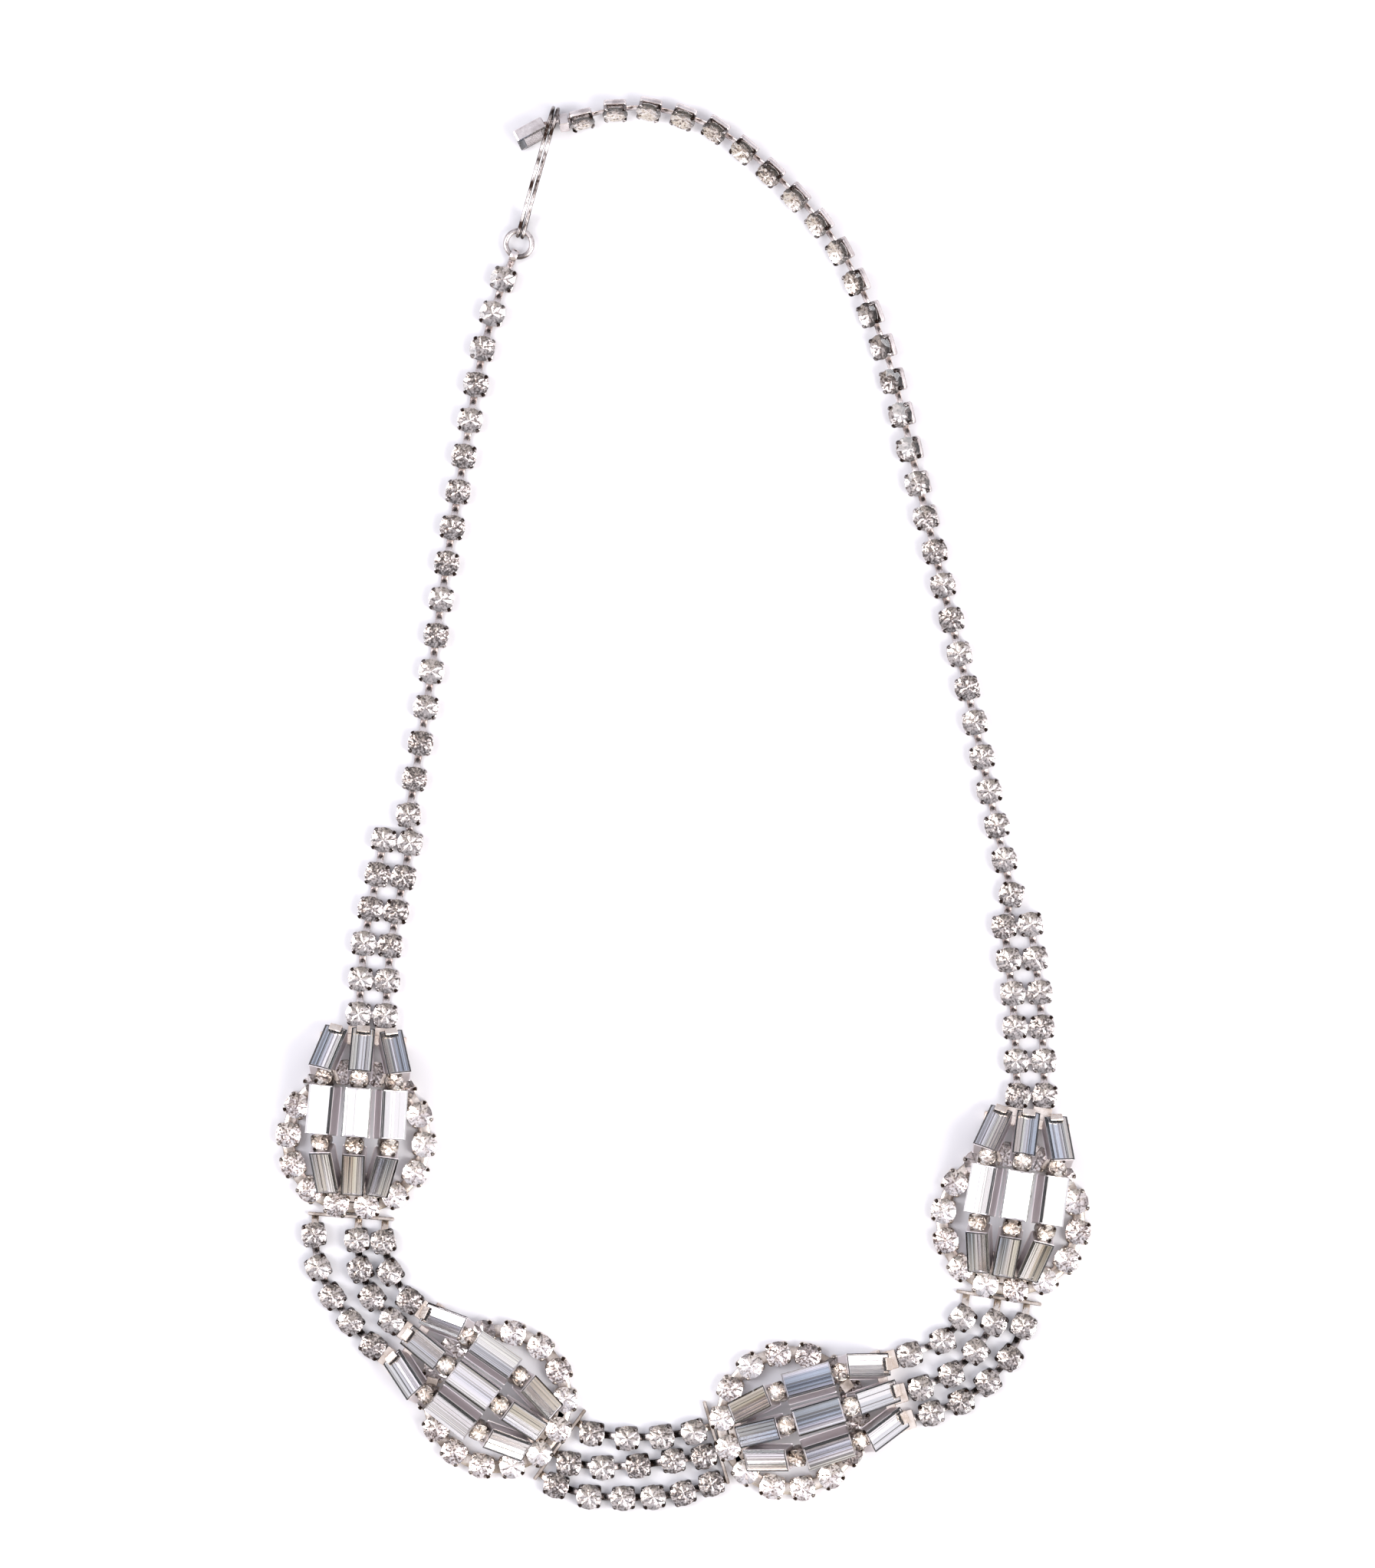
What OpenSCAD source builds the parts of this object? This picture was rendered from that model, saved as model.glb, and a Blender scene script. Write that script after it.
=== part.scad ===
// Rhinestone choker, lying flat in a closed loop with its hook fastened.
// Single chains of cup-set stones run down both sides from the clasp, widen to two soldered rows,
// and meet four domed clusters of long and round stones, which three strands of cups join.
// X runs to the right, Y up the loop towards the clasp, and Z up from the table. Sizes are in mm.

/* [Cups] */
// Width of a cup's square base
cup_w = 2.3; // [2.1:0.05:2.4]
// Height of a cup's base, which holds the end of the next link
base_h = 0.75; // [0.7:0.01:0.9]
// Height of a cup over its claws
cup_h = 1.75; // [1.7:0.05:2]
// Distance from a cup's middle to its claws
claw_in = 1.36; // [1.35:0.01:1.4]
// Distance from a cup's middle to the outside of its claws
claw_out = 1.68; // [1.6:0.01:1.8]
// Width of a claw
claw_w = 0.5; // [0.4:0.05:0.6]

/* [Round stones] */
// Width of a chain stone across its flats
chain_stone_w = 2.66; // [2.5:0.01:2.66]
// Width of a halo stone across its flats
halo_stone_w = 2.5; // [2.1:0.05:2.5]
// Width of the small round stones between the long ones
rib_stone_w = 1.9; // [1.6:0.02:1.9]
// Number of facets round a round stone's crown
facets = 8; // [8:2:12]

/* [Links] */
// Width of a link's flat bar
link_w = 0.85; // [0.7:0.01:0.9]
// Thickness of a link's flat bar
link_t = 0.2; // [0.15:0.01:0.22]
// Width of the cross-piece at a link's end
head_w = 1.3; // [1.25:0.01:1.4]
// Room around a link's end inside a cup
room = 0.13; // [0.1:0.01:0.14]

/* [Domes] */
// Radius of the ring of cups round a dome
halo_r = 8.2; // [8.1:0.05:8.5]
// Height of the cups' bases round a dome
halo_t = 0.5; // [0.4:0.01:0.5]
// Depth of the box settings
box_h = 1.9; // [1.7:0.05:2]
// Thickness of the box settings' walls
box_wall = 0.18; // [0.15:0.01:0.25]
// Gap between a long stone and its box
stone_gap = 0.04; // [0.03:0.01:0.1]

/* [Clasp] */
// Radius of the clasp ring to the middle of its wire
ring_r = 1.575; // [1.5:0.025:1.7]
// Thickness of the clasp ring's wire
ring_wire = 0.65; // [0.55:0.05:0.7]
// Thickness of the hook's wire
hook_wire = 0.44; // [0.4:0.01:0.46]
// Distance between the hook's two wires
hook_gap = 0.6; // [0.58:0.01:0.66]

/* [Hidden] */
silver = "#c9c6c8";
pale_silver = "#d8d5d3";
crystal = "#eef2f4";
link_z = base_h / 2;
halo_cups = 14;
sides = ["left", "middle", "right"];
kinds = ["neck", "belly", "lower"];

// The single chains' routes: x, y, and how far the cups lean to the right of the way they run.
LEAN = 2;
left_back_route = [
  [-21.7, 62.9, 6], [-24.2, 54.6, 3], [-26.5, 41.7, 0], [-28.6, 28.7, 0], [-31.1, 11.3, 0], [-33.2, -1.6, 0]
];
left_back_cups = 16;
right_back_route = [
  [-12.4, 82.4, 66], [-8.8, 83.4, 58], [-4.9, 83.7, 54], [-0.8, 82.9, 52], [3.0, 81.6, 50], [6.6, 79.3, 48],
  [12.9, 73.7, 46], [18.4, 67.3, 46], [22.3, 59.7, 44], [25.1, 51.7, 34], [28.1, 39.1, 16],
  [31.1, 26.5, 0], [34.1, 13.9, 0], [36.8, 1.2, 0], [39.5, -11.2, 0]
];
right_back_cups = 29;

// The double rows: the outer and the inner column, each x, y, lean.
left_outer_row = [[-36.2, -4.6, 0], [-37.4, -11.0, 0], [-38.6, -17.0, 0], [-39.2, -25.6, 0]];
left_inner_row = [[-33.0, -5.0, 0], [-34.2, -11.2, 0], [-35.4, -17.2, 0], [-36.0, -25.8, 0]];
right_outer_row = [[41.8, -14.8, 0], [42.9, -23.4, 0], [43.2, -27.6, 0], [43.5, -35.4, 0]];
right_inner_row = [[38.6, -15.0, 0], [39.6, -23.6, 0], [39.9, -27.8, 0], [40.2, -35.4, 0]];
row_pairs = 6;

// The strands: every cup's x and y, from the end bar that it starts at.
left_strand_cups = [
  [[-44.6, -52.2], [-44.1, -56.1], [-42.4, -59.6], [-40.2, -62.7], [-37.5, -65.6]],
  [[-39.4, -52.8], [-39.0, -56.4], [-37.6, -59.7], [-35.2, -62.6]],
  [[-36.2, -53.0], [-35.4, -56.7], [-33.1, -60.1]]
];
centre_strand_cups = [
  [[-11.1, -76.1], [-6.9, -76.7], [-2.7, -76.5], [1.2, -75.9]],
  [[-13.9, -79.7], [-9.8, -80.2], [-5.5, -80.0], [-1.3, -79.4], [2.4, -78.9]],
  [[-15.4, -82.4], [-11.4, -83.7], [-7.3, -83.9], [-3.7, -83.8], [-0.1, -83.35], [3.3, -82.2]]
];
right_strand_cups = [
  [[33.6, -62.2], [31.2, -65.0], [27.2, -66.6]],
  [[37.4, -62.8], [35.2, -66.2], [32.2, -69.0], [28.5, -70.6]],
  [[40.9, -63.2], [39.2, -67.0], [36.6, -70.0], [33.4, -72.3], [29.8, -73.7]]
];

// The domes: the ring's middle, the turn of the neck from straight up, and the first cup's place on the ring.
X = 0;
Y = 1;
TURN = 2;
FIRST = 3;
domes = [
  [-39.5, -40.7, -4, 0],
  [-22.5, -72.0, 53.8, -3],
  [12.8, -74.6, -73.6, -6],
  [39.4, -50.6, -9, 0]
];

// The settings along a rib, from the neck down: distance towards the neck, height of the stone's edge,
// fall towards the neck, and then for a side rib its distance out, drop, lean out and turn in.
AT = 0;
UP = 1;
FALL = 2;
OUT = 3;
DROP = 4;
OVER = 5;
TOE = 6;
rib_places = [
  [10.9, 4.05, 34, 4.05, 0.15, 12, 10],
  [7.5, 6.05, 18, 4.3, 0.45, 20, 4],
  [3.5, 6.7, 3, 4.45, 0.8, 25, 0],
  [-0.5, 6.15, -24, 4.2, 0.7, 22, -5],
  [-4.1, 4.3, -34, 3.5, 0.4, 12, -5]
];
// The long stones in the neck, belly and lower settings: length, width.
long_stones = [[5.6, 2.35], [5.5, 2.85], [5.5, 2.3]];

// The end bar and the neck's collar: how far they are from the ring's middle, half their length, and their
// widths and heights.
bar_y = -9.35;
collar_y = 12.1;
bar_half = 5.2;
bar_w = 0.7;
bar_h = 0.8;
collar_w = 1.2;
collar_h = 1.3;
// How far past its last cup a strand's link reaches into a neck.
anchor_reach = 2.6;
neck_end_y = 13.3;

// Names and small sums

function stone_name(k, side, kind) = str("dome_", k, "_", side, "_", kind, "_stone");
function unit(v) = v / norm(v);
function flat(p) = [p[X], p[Y]];
function turned(p, a) = [p[X] * cos(a) - p[Y] * sin(a), p[X] * sin(a) + p[Y] * cos(a)];

// A point of dome k, in the choker's own place, and the other way round.
function from_dome(k, p) = let(d = domes[k], q = turned(p, d[TURN])) [d[X] + q[X], d[Y] + q[Y], p[2]];
function in_dome(k, p) = turned([p[X] - domes[k][X], p[Y] - domes[k][Y]], -domes[k][TURN]);

// Routes

// A smooth curve through the points, which takes every column of the table along.
route_steps = 10;
function between(a, b, c, d, t) =
  (2 * b + (c - a) * t + (2 * a - 5 * b + 4 * c - d) * t * t + (3 * b - a - 3 * c + d) * t * t * t) / 2;
function curve(p) = concat(
  [for (i = [0:len(p) - 2], j = [0:route_steps - 1])
    between(p[max(i - 1, 0)], p[i], p[i + 1], p[min(i + 2, len(p) - 1)], j / route_steps)],
  [p[len(p) - 1]]
);
// The length of the curve up to each of its points.
function lengths(c) = [
  for (i = 0, s = 0; i < len(c); i = i + 1, s = s + (i < len(c) ? norm(flat(c[i]) - flat(c[i - 1])) : 0)) s
];
// n cups at equal distances along a route, each x, y, height of its link, lean.
function spaced(p, n) = let(c = curve(p), s = lengths(c), whole = s[len(s) - 1])
  [for (k = [0:n - 1]) let(at = whole * k / (n - 1), lean = along_table(c, s, at, LEAN))
    [along_table(c, s, at, X), along_table(c, s, at, Y), rest_z(lean), lean]];
function along_table(c, s, at, column) = lookup(at, [for (i = [0:len(c) - 1]) [s[i], c[i][column]]]);

// A leaning cup rests on the lower edge of its base and claws.
cup_reach = (claw_out + claw_w / 2) / sqrt(2);
slope_room = 0.04;
function rest_z(lean) = link_z * cos(lean) + cup_reach * abs(sin(lean)) + (lean == 0 ? 0 : slope_room);
function laid(cups) = [for (c = cups) [c[X], c[Y], link_z, 0]];

// Where a strand leaves an end bar, and where it enters a neck.
function bar_start(k, cup) = let(q = in_dome(k, cup)) concat(from_dome(k, [q[X], bar_y + 0.1, link_z]), [0]);
function neck_end(k, cup) = let(q = in_dome(k, cup))
  concat(from_dome(k, [q[X], min(q[Y] - anchor_reach, neck_end_y), link_z]), [0]);

left_back = spaced(left_back_route, left_back_cups);
right_back = spaced(right_back_route, right_back_cups);
left_outer = spaced(left_outer_row, row_pairs);
left_inner = spaced(left_inner_row, row_pairs);
right_outer = spaced(right_outer_row, row_pairs);
right_inner = spaced(right_inner_row, row_pairs);
left_strand_links = [for (s = left_strand_cups) let(c = laid(s))
  concat([bar_start(0, c[0])], c, [neck_end(1, c[len(c) - 1])])];
centre_strand_links = [for (s = centre_strand_cups) let(c = laid(s))
  concat([bar_start(1, c[0])], c, [bar_start(2, c[len(c) - 1])])];
right_strand_links = [for (s = right_strand_cups) let(c = laid(s))
  concat([bar_start(3, c[0])], c, [neck_end(2, c[len(c) - 1])])];

ring_middle = [-19.9, 67.2, 0.9];
ring_out = unit(flat(left_back[0]) - flat(ring_middle));
ring_link_at = [ring_middle[X] + ring_r * ring_out[X], ring_middle[Y] + ring_r * ring_out[Y], link_z, 0];
tail_lean = 70;
tail_from = [-20.3, 79.9];
tail_to = [-16.9, 81.75];
tail_half_w = 1.3;
tail_z = link_z * cos(tail_lean) + tail_half_w * sin(tail_lean) + slope_room;
tail_start = [tail_to[X] - 0.5, tail_to[Y] - 0.2, tail_z, tail_lean];

// Placing

function point(p) = [p[0], p[1], p[2]];
function lean_of(p) = p[3];

// Puts a thing at p, with X towards q, leaning to the right by p's lean.
module from_to(p, q) {
  d = point(q) - point(p);
  translate(point(p))
    rotate([0, -atan2(d[2], norm(flat(d))), atan2(d[1], d[0])])
      rotate([lean_of(p), 0, 0])
        children();
}

module in_place(k) {
  translate([domes[k][X], domes[k][Y], 0]) rotate(domes[k][TURN]) children();
}

// Stones

// A round stone with a flat table: its outline from the side, cut once for every pair of facets.
// Its height is measured from its culet.
module round_stone(w, girdle_z, crown_h) {
  r = w / 2;
  table_r = 0.56 * r;
  top = girdle_z + crown_h;
  outline = [[0, 0], [r, girdle_z], [table_r, top], [-table_r, top], [-r, girdle_z]];
  intersection_for (i = [0:facets / 2 - 1])
    rotate(i * 360 / facets) rotate([90, 0, 0]) linear_extrude(2 * w, center = true) polygon(outline);
}

// A long step-cut stone, edge at z = 0: its outlines from the side and from the end, cut into each other.
module long_stone(size) {
  crown = 0.42;
  step = 0.26;
  edge = 0.12;
  pavilion = 1.15;
  intersection() {
    rotate([90, 0, 90]) linear_extrude(2 * size[0], center = true)
      stepped(size[1], crown, step, edge, pavilion);
    rotate([90, 0, 0]) linear_extrude(2 * size[0], center = true)
      stepped(size[0], crown, step, edge, pavilion);
  }
}

module stepped(w, crown, step, edge, pavilion) {
  half = w / 2;
  keel = half - 0.85;
  polygon([
    [-keel, -pavilion], [keel, -pavilion], [half, -edge], [half, 0],
    [half - 0.14, step], [half - 0.5, crown], [-half + 0.5, crown], [-half + 0.14, step],
    [-half, 0], [-half, -edge]
  ]);
}

// Cups

// One claw, standing at the claws' distance along X, with its end bent in over the stone.
claw_end_l = 0.34;
claw_end_h = 0.45;
module claw(foot) {
  translate([0, claw_w / 2, 0]) rotate([90, 0, 0]) linear_extrude(claw_w) polygon([
    [claw_in, foot], [claw_out, foot], [claw_out, cup_h], [claw_in - claw_end_l, cup_h],
    [claw_in, cup_h - claw_end_h]
  ]);
}

module claws(foot = 0) {
  for (i = [0:3]) rotate(45 + 90 * i) claw(foot);
}

culet_z = 0.66;
girdle_z = 1.16;
crown_h = 0.36;

// A cup with its stone, base on z = 0.
module cup() {
  translate([-cup_w / 2, -cup_w / 2, 0]) cube([cup_w, cup_w, base_h]);
  claws();
  translate([0, 0, culet_z]) round_stone(chain_stone_w, girdle_z - culet_z, crown_h);
}

// A link's flat bar with the cross-piece at its end, in a cup L away, and the room for it with r around it.
neck_from = 0.65;
head_from = 0.35;
room_l = 1.8;
module link_shape(L, start, r = 0) {
  translate([0, 0, -link_t / 2 - r]) linear_extrude(link_t + 2 * r) polygon([
    [start, -link_w / 2 - r], [L - neck_from - r, -link_w / 2 - r], [L - neck_from - r, -head_w / 2 - r],
    [L - head_from + r, -head_w / 2 - r], [L - head_from + r, head_w / 2 + r],
    [L - neck_from - r, head_w / 2 + r], [L - neck_from - r, link_w / 2 + r], [start, link_w / 2 + r]
  ]);
}

// The link from p to q, and the room that it takes in the cup at q.
module link(p, q, start = 1) {
  from_to(p, q) link_shape(norm(point(q) - point(p)), start);
}
module link_room(p, q) {
  L = norm(point(q) - point(p));
  from_to(p, q) link_shape(L, L - room_l, room);
}

// Cup number i of a row of places, with its link to the next, and with room for the link before it.
module linked_cup(places, i, last_link = true) {
  difference() {
    union() {
      from_to(places[i], places[i + 1]) translate([0, 0, -link_z]) cup();
      if (last_link || i < len(places) - 2) link(places[i], places[i + 1]);
    }
    link_room(places[i - 1], places[i]);
    if (!last_link && i == len(places) - 2) link_room(places[i + 1], places[i]);
  }
}

// All the cups of a row of places whose first and last are what it starts from and ends in.
module chain(places, last_link = true) {
  for (i = [1:len(places) - 2]) linked_cup(places, i, last_link);
}

// The single chains

module left_back_chain() {
  color(silver) chain(concat([ring_link_at], left_back, [left_inner[0]]));
}

module right_back_chain() {
  color(silver) chain(concat([tail_start], right_back, [right_inner[0]]));
}

// The double rows

// Pairs of cups soldered by a bar between their bases. The single chain enters the inner column's first cup.
solder_in = 0.6;
solder_w = 0.9;
solder_t = 0.3;
module double_row(before, outer, inner, dome) {
  n = len(outer);
  outer_places = concat(outer, [neck_end(dome, outer[n - 1])]);
  inner_places = concat([before], inner, [neck_end(dome, inner[n - 1])]);
  for (i = [0:n - 1]) difference() {
    union() {
      from_to(outer_places[i], outer_places[i + 1]) translate([0, 0, -link_z]) cup();
      link(outer_places[i], outer_places[i + 1]);
      from_to(inner_places[i + 1], inner_places[i + 2]) translate([0, 0, -link_z]) cup();
      link(inner_places[i + 1], inner_places[i + 2]);
      from_to(outer[i], inner[i]) translate([solder_in, -solder_w / 2, -link_z])
        cube([norm(point(outer[i]) - point(inner[i])) - 2 * solder_in, solder_w, solder_t]);
    }
    link_room(inner_places[i], inner_places[i + 1]);
    if (i > 0) link_room(outer_places[i - 1], outer_places[i]);
  }
}

module left_double_row() {
  color(silver) double_row(left_back[left_back_cups - 1], left_outer, left_inner, 0);
}

module right_double_row() {
  color(silver) double_row(right_back[right_back_cups - 1], right_outer, right_inner, 3);
}

// The strands

module left_strands() {
  color(silver) for (s = left_strand_links) chain(s);
}

module centre_strands() {
  color(silver) for (s = centre_strand_links) chain(s, last_link = false);
}

module right_strands() {
  color(silver) for (s = right_strand_links) chain(s);
}

// The domes

// Puts a thing in setting number i of the rib on one side: -1 left, 0 middle, 1 right.
module on_rib(i, side) {
  p = rib_places[i];
  translate([side * p[OUT], p[AT], p[UP] - abs(side) * p[DROP]])
    rotate([0, 0, side * p[TOE]]) rotate([0, side * p[OVER], 0]) rotate([-p[FALL], 0, 0])
      children();
}

// The middle of a setting's underside, near enough to solder the rib's bar to it.
rib_bar_w = 1.2;
rib_bar_t = 0.4;
function under_rib(i, side) = let(p = rib_places[i], deep = 0.86 * box_h)
  [side * (p[OUT] - deep * sin(p[OVER])), p[AT] - deep * sin(p[FALL]),
   p[UP] - abs(side) * p[DROP] - deep * cos(p[FALL]) * cos(p[OVER]), 0];

// A box round a long stone, with its rim a little above the stone's edge, and the hollow for the stone.
rim = 0.12;
box_floor = 0.3;
module box_setting(size) {
  l = size[0] + 2 * (stone_gap + box_wall);
  w = size[1] + 2 * (stone_gap + box_wall);
  translate([-w / 2, -l / 2, -box_h]) cube([w, l, box_h + rim]);
}
module box_hollow(size) {
  l = size[0] + 2 * stone_gap;
  w = size[1] + 2 * stone_gap;
  translate([-w / 2, -l / 2, -box_h + box_floor]) cube([w, l, box_h]);
}

// A small collet, with as many sides as the stone has facets and four grains over its edge, and its hollow.
collet_r = (rib_stone_w / 2 + stone_gap) / cos(180 / facets);
collet_wall = 0.12;
collet_h = 1.55;
collet_rim = 0.05;
collet_floor = 0.35;
grain_w = 0.4;
grain_h = 0.42;
module collet() {
  rotate(180 / facets) translate([0, 0, collet_rim - collet_h])
    cylinder(h = collet_h, r = collet_r + collet_wall, $fn = facets);
  for (i = [0:3]) rotate(45 + 90 * i) translate([0, grain_w / 2, 0]) rotate([90, 0, 0])
    linear_extrude(grain_w) polygon([
      [collet_r - 0.04, -0.1], [collet_r + 0.22, -0.1], [collet_r + 0.22, grain_h], [collet_r - 0.3, grain_h]
    ]);
}
module collet_hollow() {
  rotate(180 / facets) translate([0, 0, collet_rim - collet_h + collet_floor])
    cylinder(h = collet_h - collet_floor + 0.02, r = collet_r, $fn = facets);
}

// One rib: three boxes and two collets in an arch, soldered to a bar underneath.
module rib(side) {
  difference() {
    union() {
      for (i = [0:2]) on_rib(2 * i, side) box_setting(long_stones[i]);
      for (i = [1, 3]) on_rib(i, side) collet();
      for (i = [0:3]) from_to(under_rib(i, side), under_rib(i + 1, side))
        translate([0, -rib_bar_w / 2, -rib_bar_t / 2])
          cube([norm(under_rib(i + 1, side) - under_rib(i, side)), rib_bar_w, rib_bar_t]);
    }
    for (i = [0:2]) on_rib(2 * i, side) box_hollow(long_stones[i]);
    for (i = [1, 3]) on_rib(i, side) collet_hollow();
  }
}

function halo_angle(k, i) = domes[k][FIRST] + i * 360 / halo_cups;

// Room for the ring's stones under the lower boxes.
halo_room_r = 1.46;
halo_room_h = 1.55;
module halo_rooms(k) {
  for (i = [0:halo_cups - 1]) rotate(halo_angle(k, i)) translate([halo_r, 0, halo_t])
    cylinder(h = halo_room_h - halo_t, r = halo_room_r, $fn = 16);
}

// The ring of cups: square bases with claws, soldered to a flat hoop.
hoop_half_w = 0.6;
hoop_h = 0.4;
module halo(k) {
  difference() {
    cylinder(h = hoop_h, r = halo_r + hoop_half_w, $fn = 96);
    translate([0, 0, -1]) cylinder(h = 3, r = halo_r - hoop_half_w, $fn = 96);
  }
  for (i = [0:halo_cups - 1]) rotate(halo_angle(k, i)) translate([halo_r, 0, 0]) {
    translate([-cup_w / 2, -cup_w / 2, 0]) cube([cup_w, cup_w, halo_t]);
    claws(0.1);
  }
}

// What holds the ribs over the ring: a stepped foot at their lower ends, and two posts that come up between
// the ring's stones and end in a pad under the upper collets.
foot_w = 6.6;
foot_y = -3.9;
foot_l = 1.9;
foot_h = 1.4;
post_w = 0.7;
pad_w = 2;
pad_z = 3.6;
pad_t = 0.75;
module supports(k) {
  translate([-foot_w / 2, foot_y - foot_l, 0]) cube([foot_w, foot_l, foot_h]);
  translate([-foot_w / 2, -halo_r + 0.5, 0]) cube([foot_w, halo_r + foot_y - 0.5, hoop_h]);
  for (side = [-1, 1]) rotate(90 + domes[k][FIRST] - side * 360 / halo_cups) {
    translate([halo_r - post_w / 2, -post_w / 2, hoop_h / 2]) cube([post_w, post_w, pad_z]);
    translate([halo_r - 0.8, -pad_w / 2, pad_z]) cube([1.4, pad_w, pad_t]);
  }
}

// The places in dome k's neck where the rows or strands end, and at its end bar where strands start.
function neck_ends(k) = k == 0 ? [left_outer[row_pairs - 1], left_inner[row_pairs - 1]]
  : k == 3 ? [right_outer[row_pairs - 1], right_inner[row_pairs - 1]]
  : [for (s = k == 1 ? left_strand_links : right_strand_links) s[len(s) - 2]];
function bar_ends(k) = k == 0 ? [for (s = left_strand_links) s[1]]
  : k == 1 ? [for (s = centre_strand_links) s[1]]
  : k == 2 ? [for (s = centre_strand_links) s[len(s) - 2]]
  : [for (s = right_strand_links) s[1]];

// The bar across the neck's outer end, with a square socket for each row or strand.
module collar(k) {
  difference() {
    union() {
      in_place(k) translate([-bar_half, collar_y - collar_w / 2, 0]) cube([2 * bar_half, collar_w, collar_h]);
      for (cup = neck_ends(k)) from_to(neck_end(k, cup), cup)
        translate([-cup_w / 2, -cup_w / 2, -link_z]) cube([cup_w, cup_w, base_h]);
    }
    for (cup = neck_ends(k)) link_room(cup, neck_end(k, cup));
  }
}

// The bar across the ring's far side, with a link to the first cup of each strand.
module end_bar(k) {
  in_place(k) translate([-bar_half, bar_y + 0.05 - bar_w / 2, 0]) cube([2 * bar_half, bar_w, bar_h]);
  for (cup = bar_ends(k)) link(bar_start(k, cup), cup, start = 0);
}

module dome_setting(k) {
  color(pale_silver) {
    in_place(k) {
      halo(k);
      supports(k);
      difference() {
        for (side = [-1:1]) rib(side);
        halo_rooms(k);
      }
    }
    collar(k);
    end_bar(k);
  }
}

halo_culet_z = halo_t + 0.1;
module dome_halo_stones(k) {
  color(crystal) in_place(k) for (i = [0:halo_cups - 1])
    rotate(halo_angle(k, i)) translate([halo_r, 0, halo_culet_z])
      round_stone(halo_stone_w, girdle_z - culet_z, crown_h);
}

rib_stone_depth = 0.65;
rib_crown_h = 0.32;
module dome_round_stones(k) {
  color(crystal) in_place(k) for (side = [-1:1], i = [1, 3])
    on_rib(i, side) translate([0, 0, -rib_stone_depth - 0.1])
      round_stone(rib_stone_w, rib_stone_depth, rib_crown_h);
}

module dome_long_stone(k, side, kind) {
  color(crystal) in_place(k) on_rib(2 * kind, side) rotate(90) long_stone(long_stones[kind]);
}

// The clasp

// A wire of six flat sides along a path: each ring of corners is turned on from the one before it.
wire_sides = 6;
function ways(p) = [for (i = [0:len(p) - 1]) unit(p[min(i + 1, len(p) - 1)] - p[max(i - 1, 0)])];
function across(v, t) = unit(v - (v * t) * t);
module wire(path, r, first_side) {
  t = ways(path);
  side = [for (i = 0, v = across(first_side, t[0]); i < len(path);
    i = i + 1, v = i < len(path) ? across(v, t[i]) : v) v];
  corners = [for (i = [0:len(path) - 1], j = [0:wire_sides - 1])
    path[i] + r * (cos(j * 360 / wire_sides) * side[i] + sin(j * 360 / wire_sides) * cross(t[i], side[i]))];
  last = wire_sides * (len(path) - 1);
  polyhedron(corners, concat(
    [[for (j = [0:wire_sides - 1]) j]],
    [[for (j = [0:wire_sides - 1]) last + wire_sides - 1 - j]],
    [for (i = [0:len(path) - 2], j = [0:wire_sides - 1]) let(k = (j + 1) % wire_sides)
      [i * wire_sides + k, i * wire_sides + j, (i + 1) * wire_sides + j, (i + 1) * wire_sides + k]]
  ));
}

module clasp_ring() {
  color(silver) translate(ring_middle) rotate_extrude($fn = 64) translate([ring_r, 0])
    circle(d = ring_wire, $fn = 32);
}

// The link between the ring and the first cup: an eye round the ring's wire with a flat bar.
eye_in = 0.54;
eye_out = 0.8;
eye_w = 0.9;
module ring_link() {
  color(silver) {
    from_to(ring_link_at, left_back[0]) translate([0, 0, ring_middle[2] - link_z]) rotate([90, 0, 0])
      difference() {
        cylinder(h = eye_w, r = eye_out, center = true, $fn = 48);
        cylinder(h = 2 * eye_w, r = eye_in, center = true, $fn = 48);
      }
    link(ring_link_at, left_back[0], start = 0.36);
  }
}

// The end of the right chain: a box that lies on its side with a long stone in its open side, and past the
// hook a short block.
tail_l = norm(tail_to - tail_from);
tail_h = 1.5;
tail_stone_z = 1.05;
tail_rim = 0.15;
block_at = 2.35;
block = [1.15, 2.3, 1.4];
module tail_end() {
  p = [tail_from[X], tail_from[Y], tail_z, tail_lean];
  q = [tail_to[X], tail_to[Y], tail_z, tail_lean];
  color(silver) {
    from_to(p, q) {
      translate([0, -tail_half_w, -link_z]) cube([tail_l, 2 * tail_half_w, tail_h]);
      translate([tail_l / 2, 0, tail_stone_z])
        long_stone([tail_l - 2 * tail_rim, 2 * (tail_half_w - tail_rim)]);
    }
    link(tail_start, right_back[0], start = 0);
    from_to(tail_start, right_back[0]) translate([block_at, -block[1] / 2, -link_z]) cube(block);
  }
}

// The hook: one wire, folded at its tip, which passes over the chain's end and bends back under its link,
// while its two ends curl round the clasp ring.
hook_over = [-15.85, 82.0];
bend_r = 1.5;
bend_z = 1.8;
hook_back = 0.5;
curl_r = hook_wire / 2 + ring_wire / 2 + 0.17;
foot_turn = 12;
hook_foot = flat(ring_middle) + ring_r * [sin(foot_turn), cos(foot_turn)];
hook_way = unit([hook_over[X] - hook_foot[X], hook_over[Y] - hook_foot[Y], 0]);
hook_side = [-hook_way[Y], hook_way[X], 0];
hook_run = norm(flat(hook_over) - flat(hook_foot));

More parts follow.
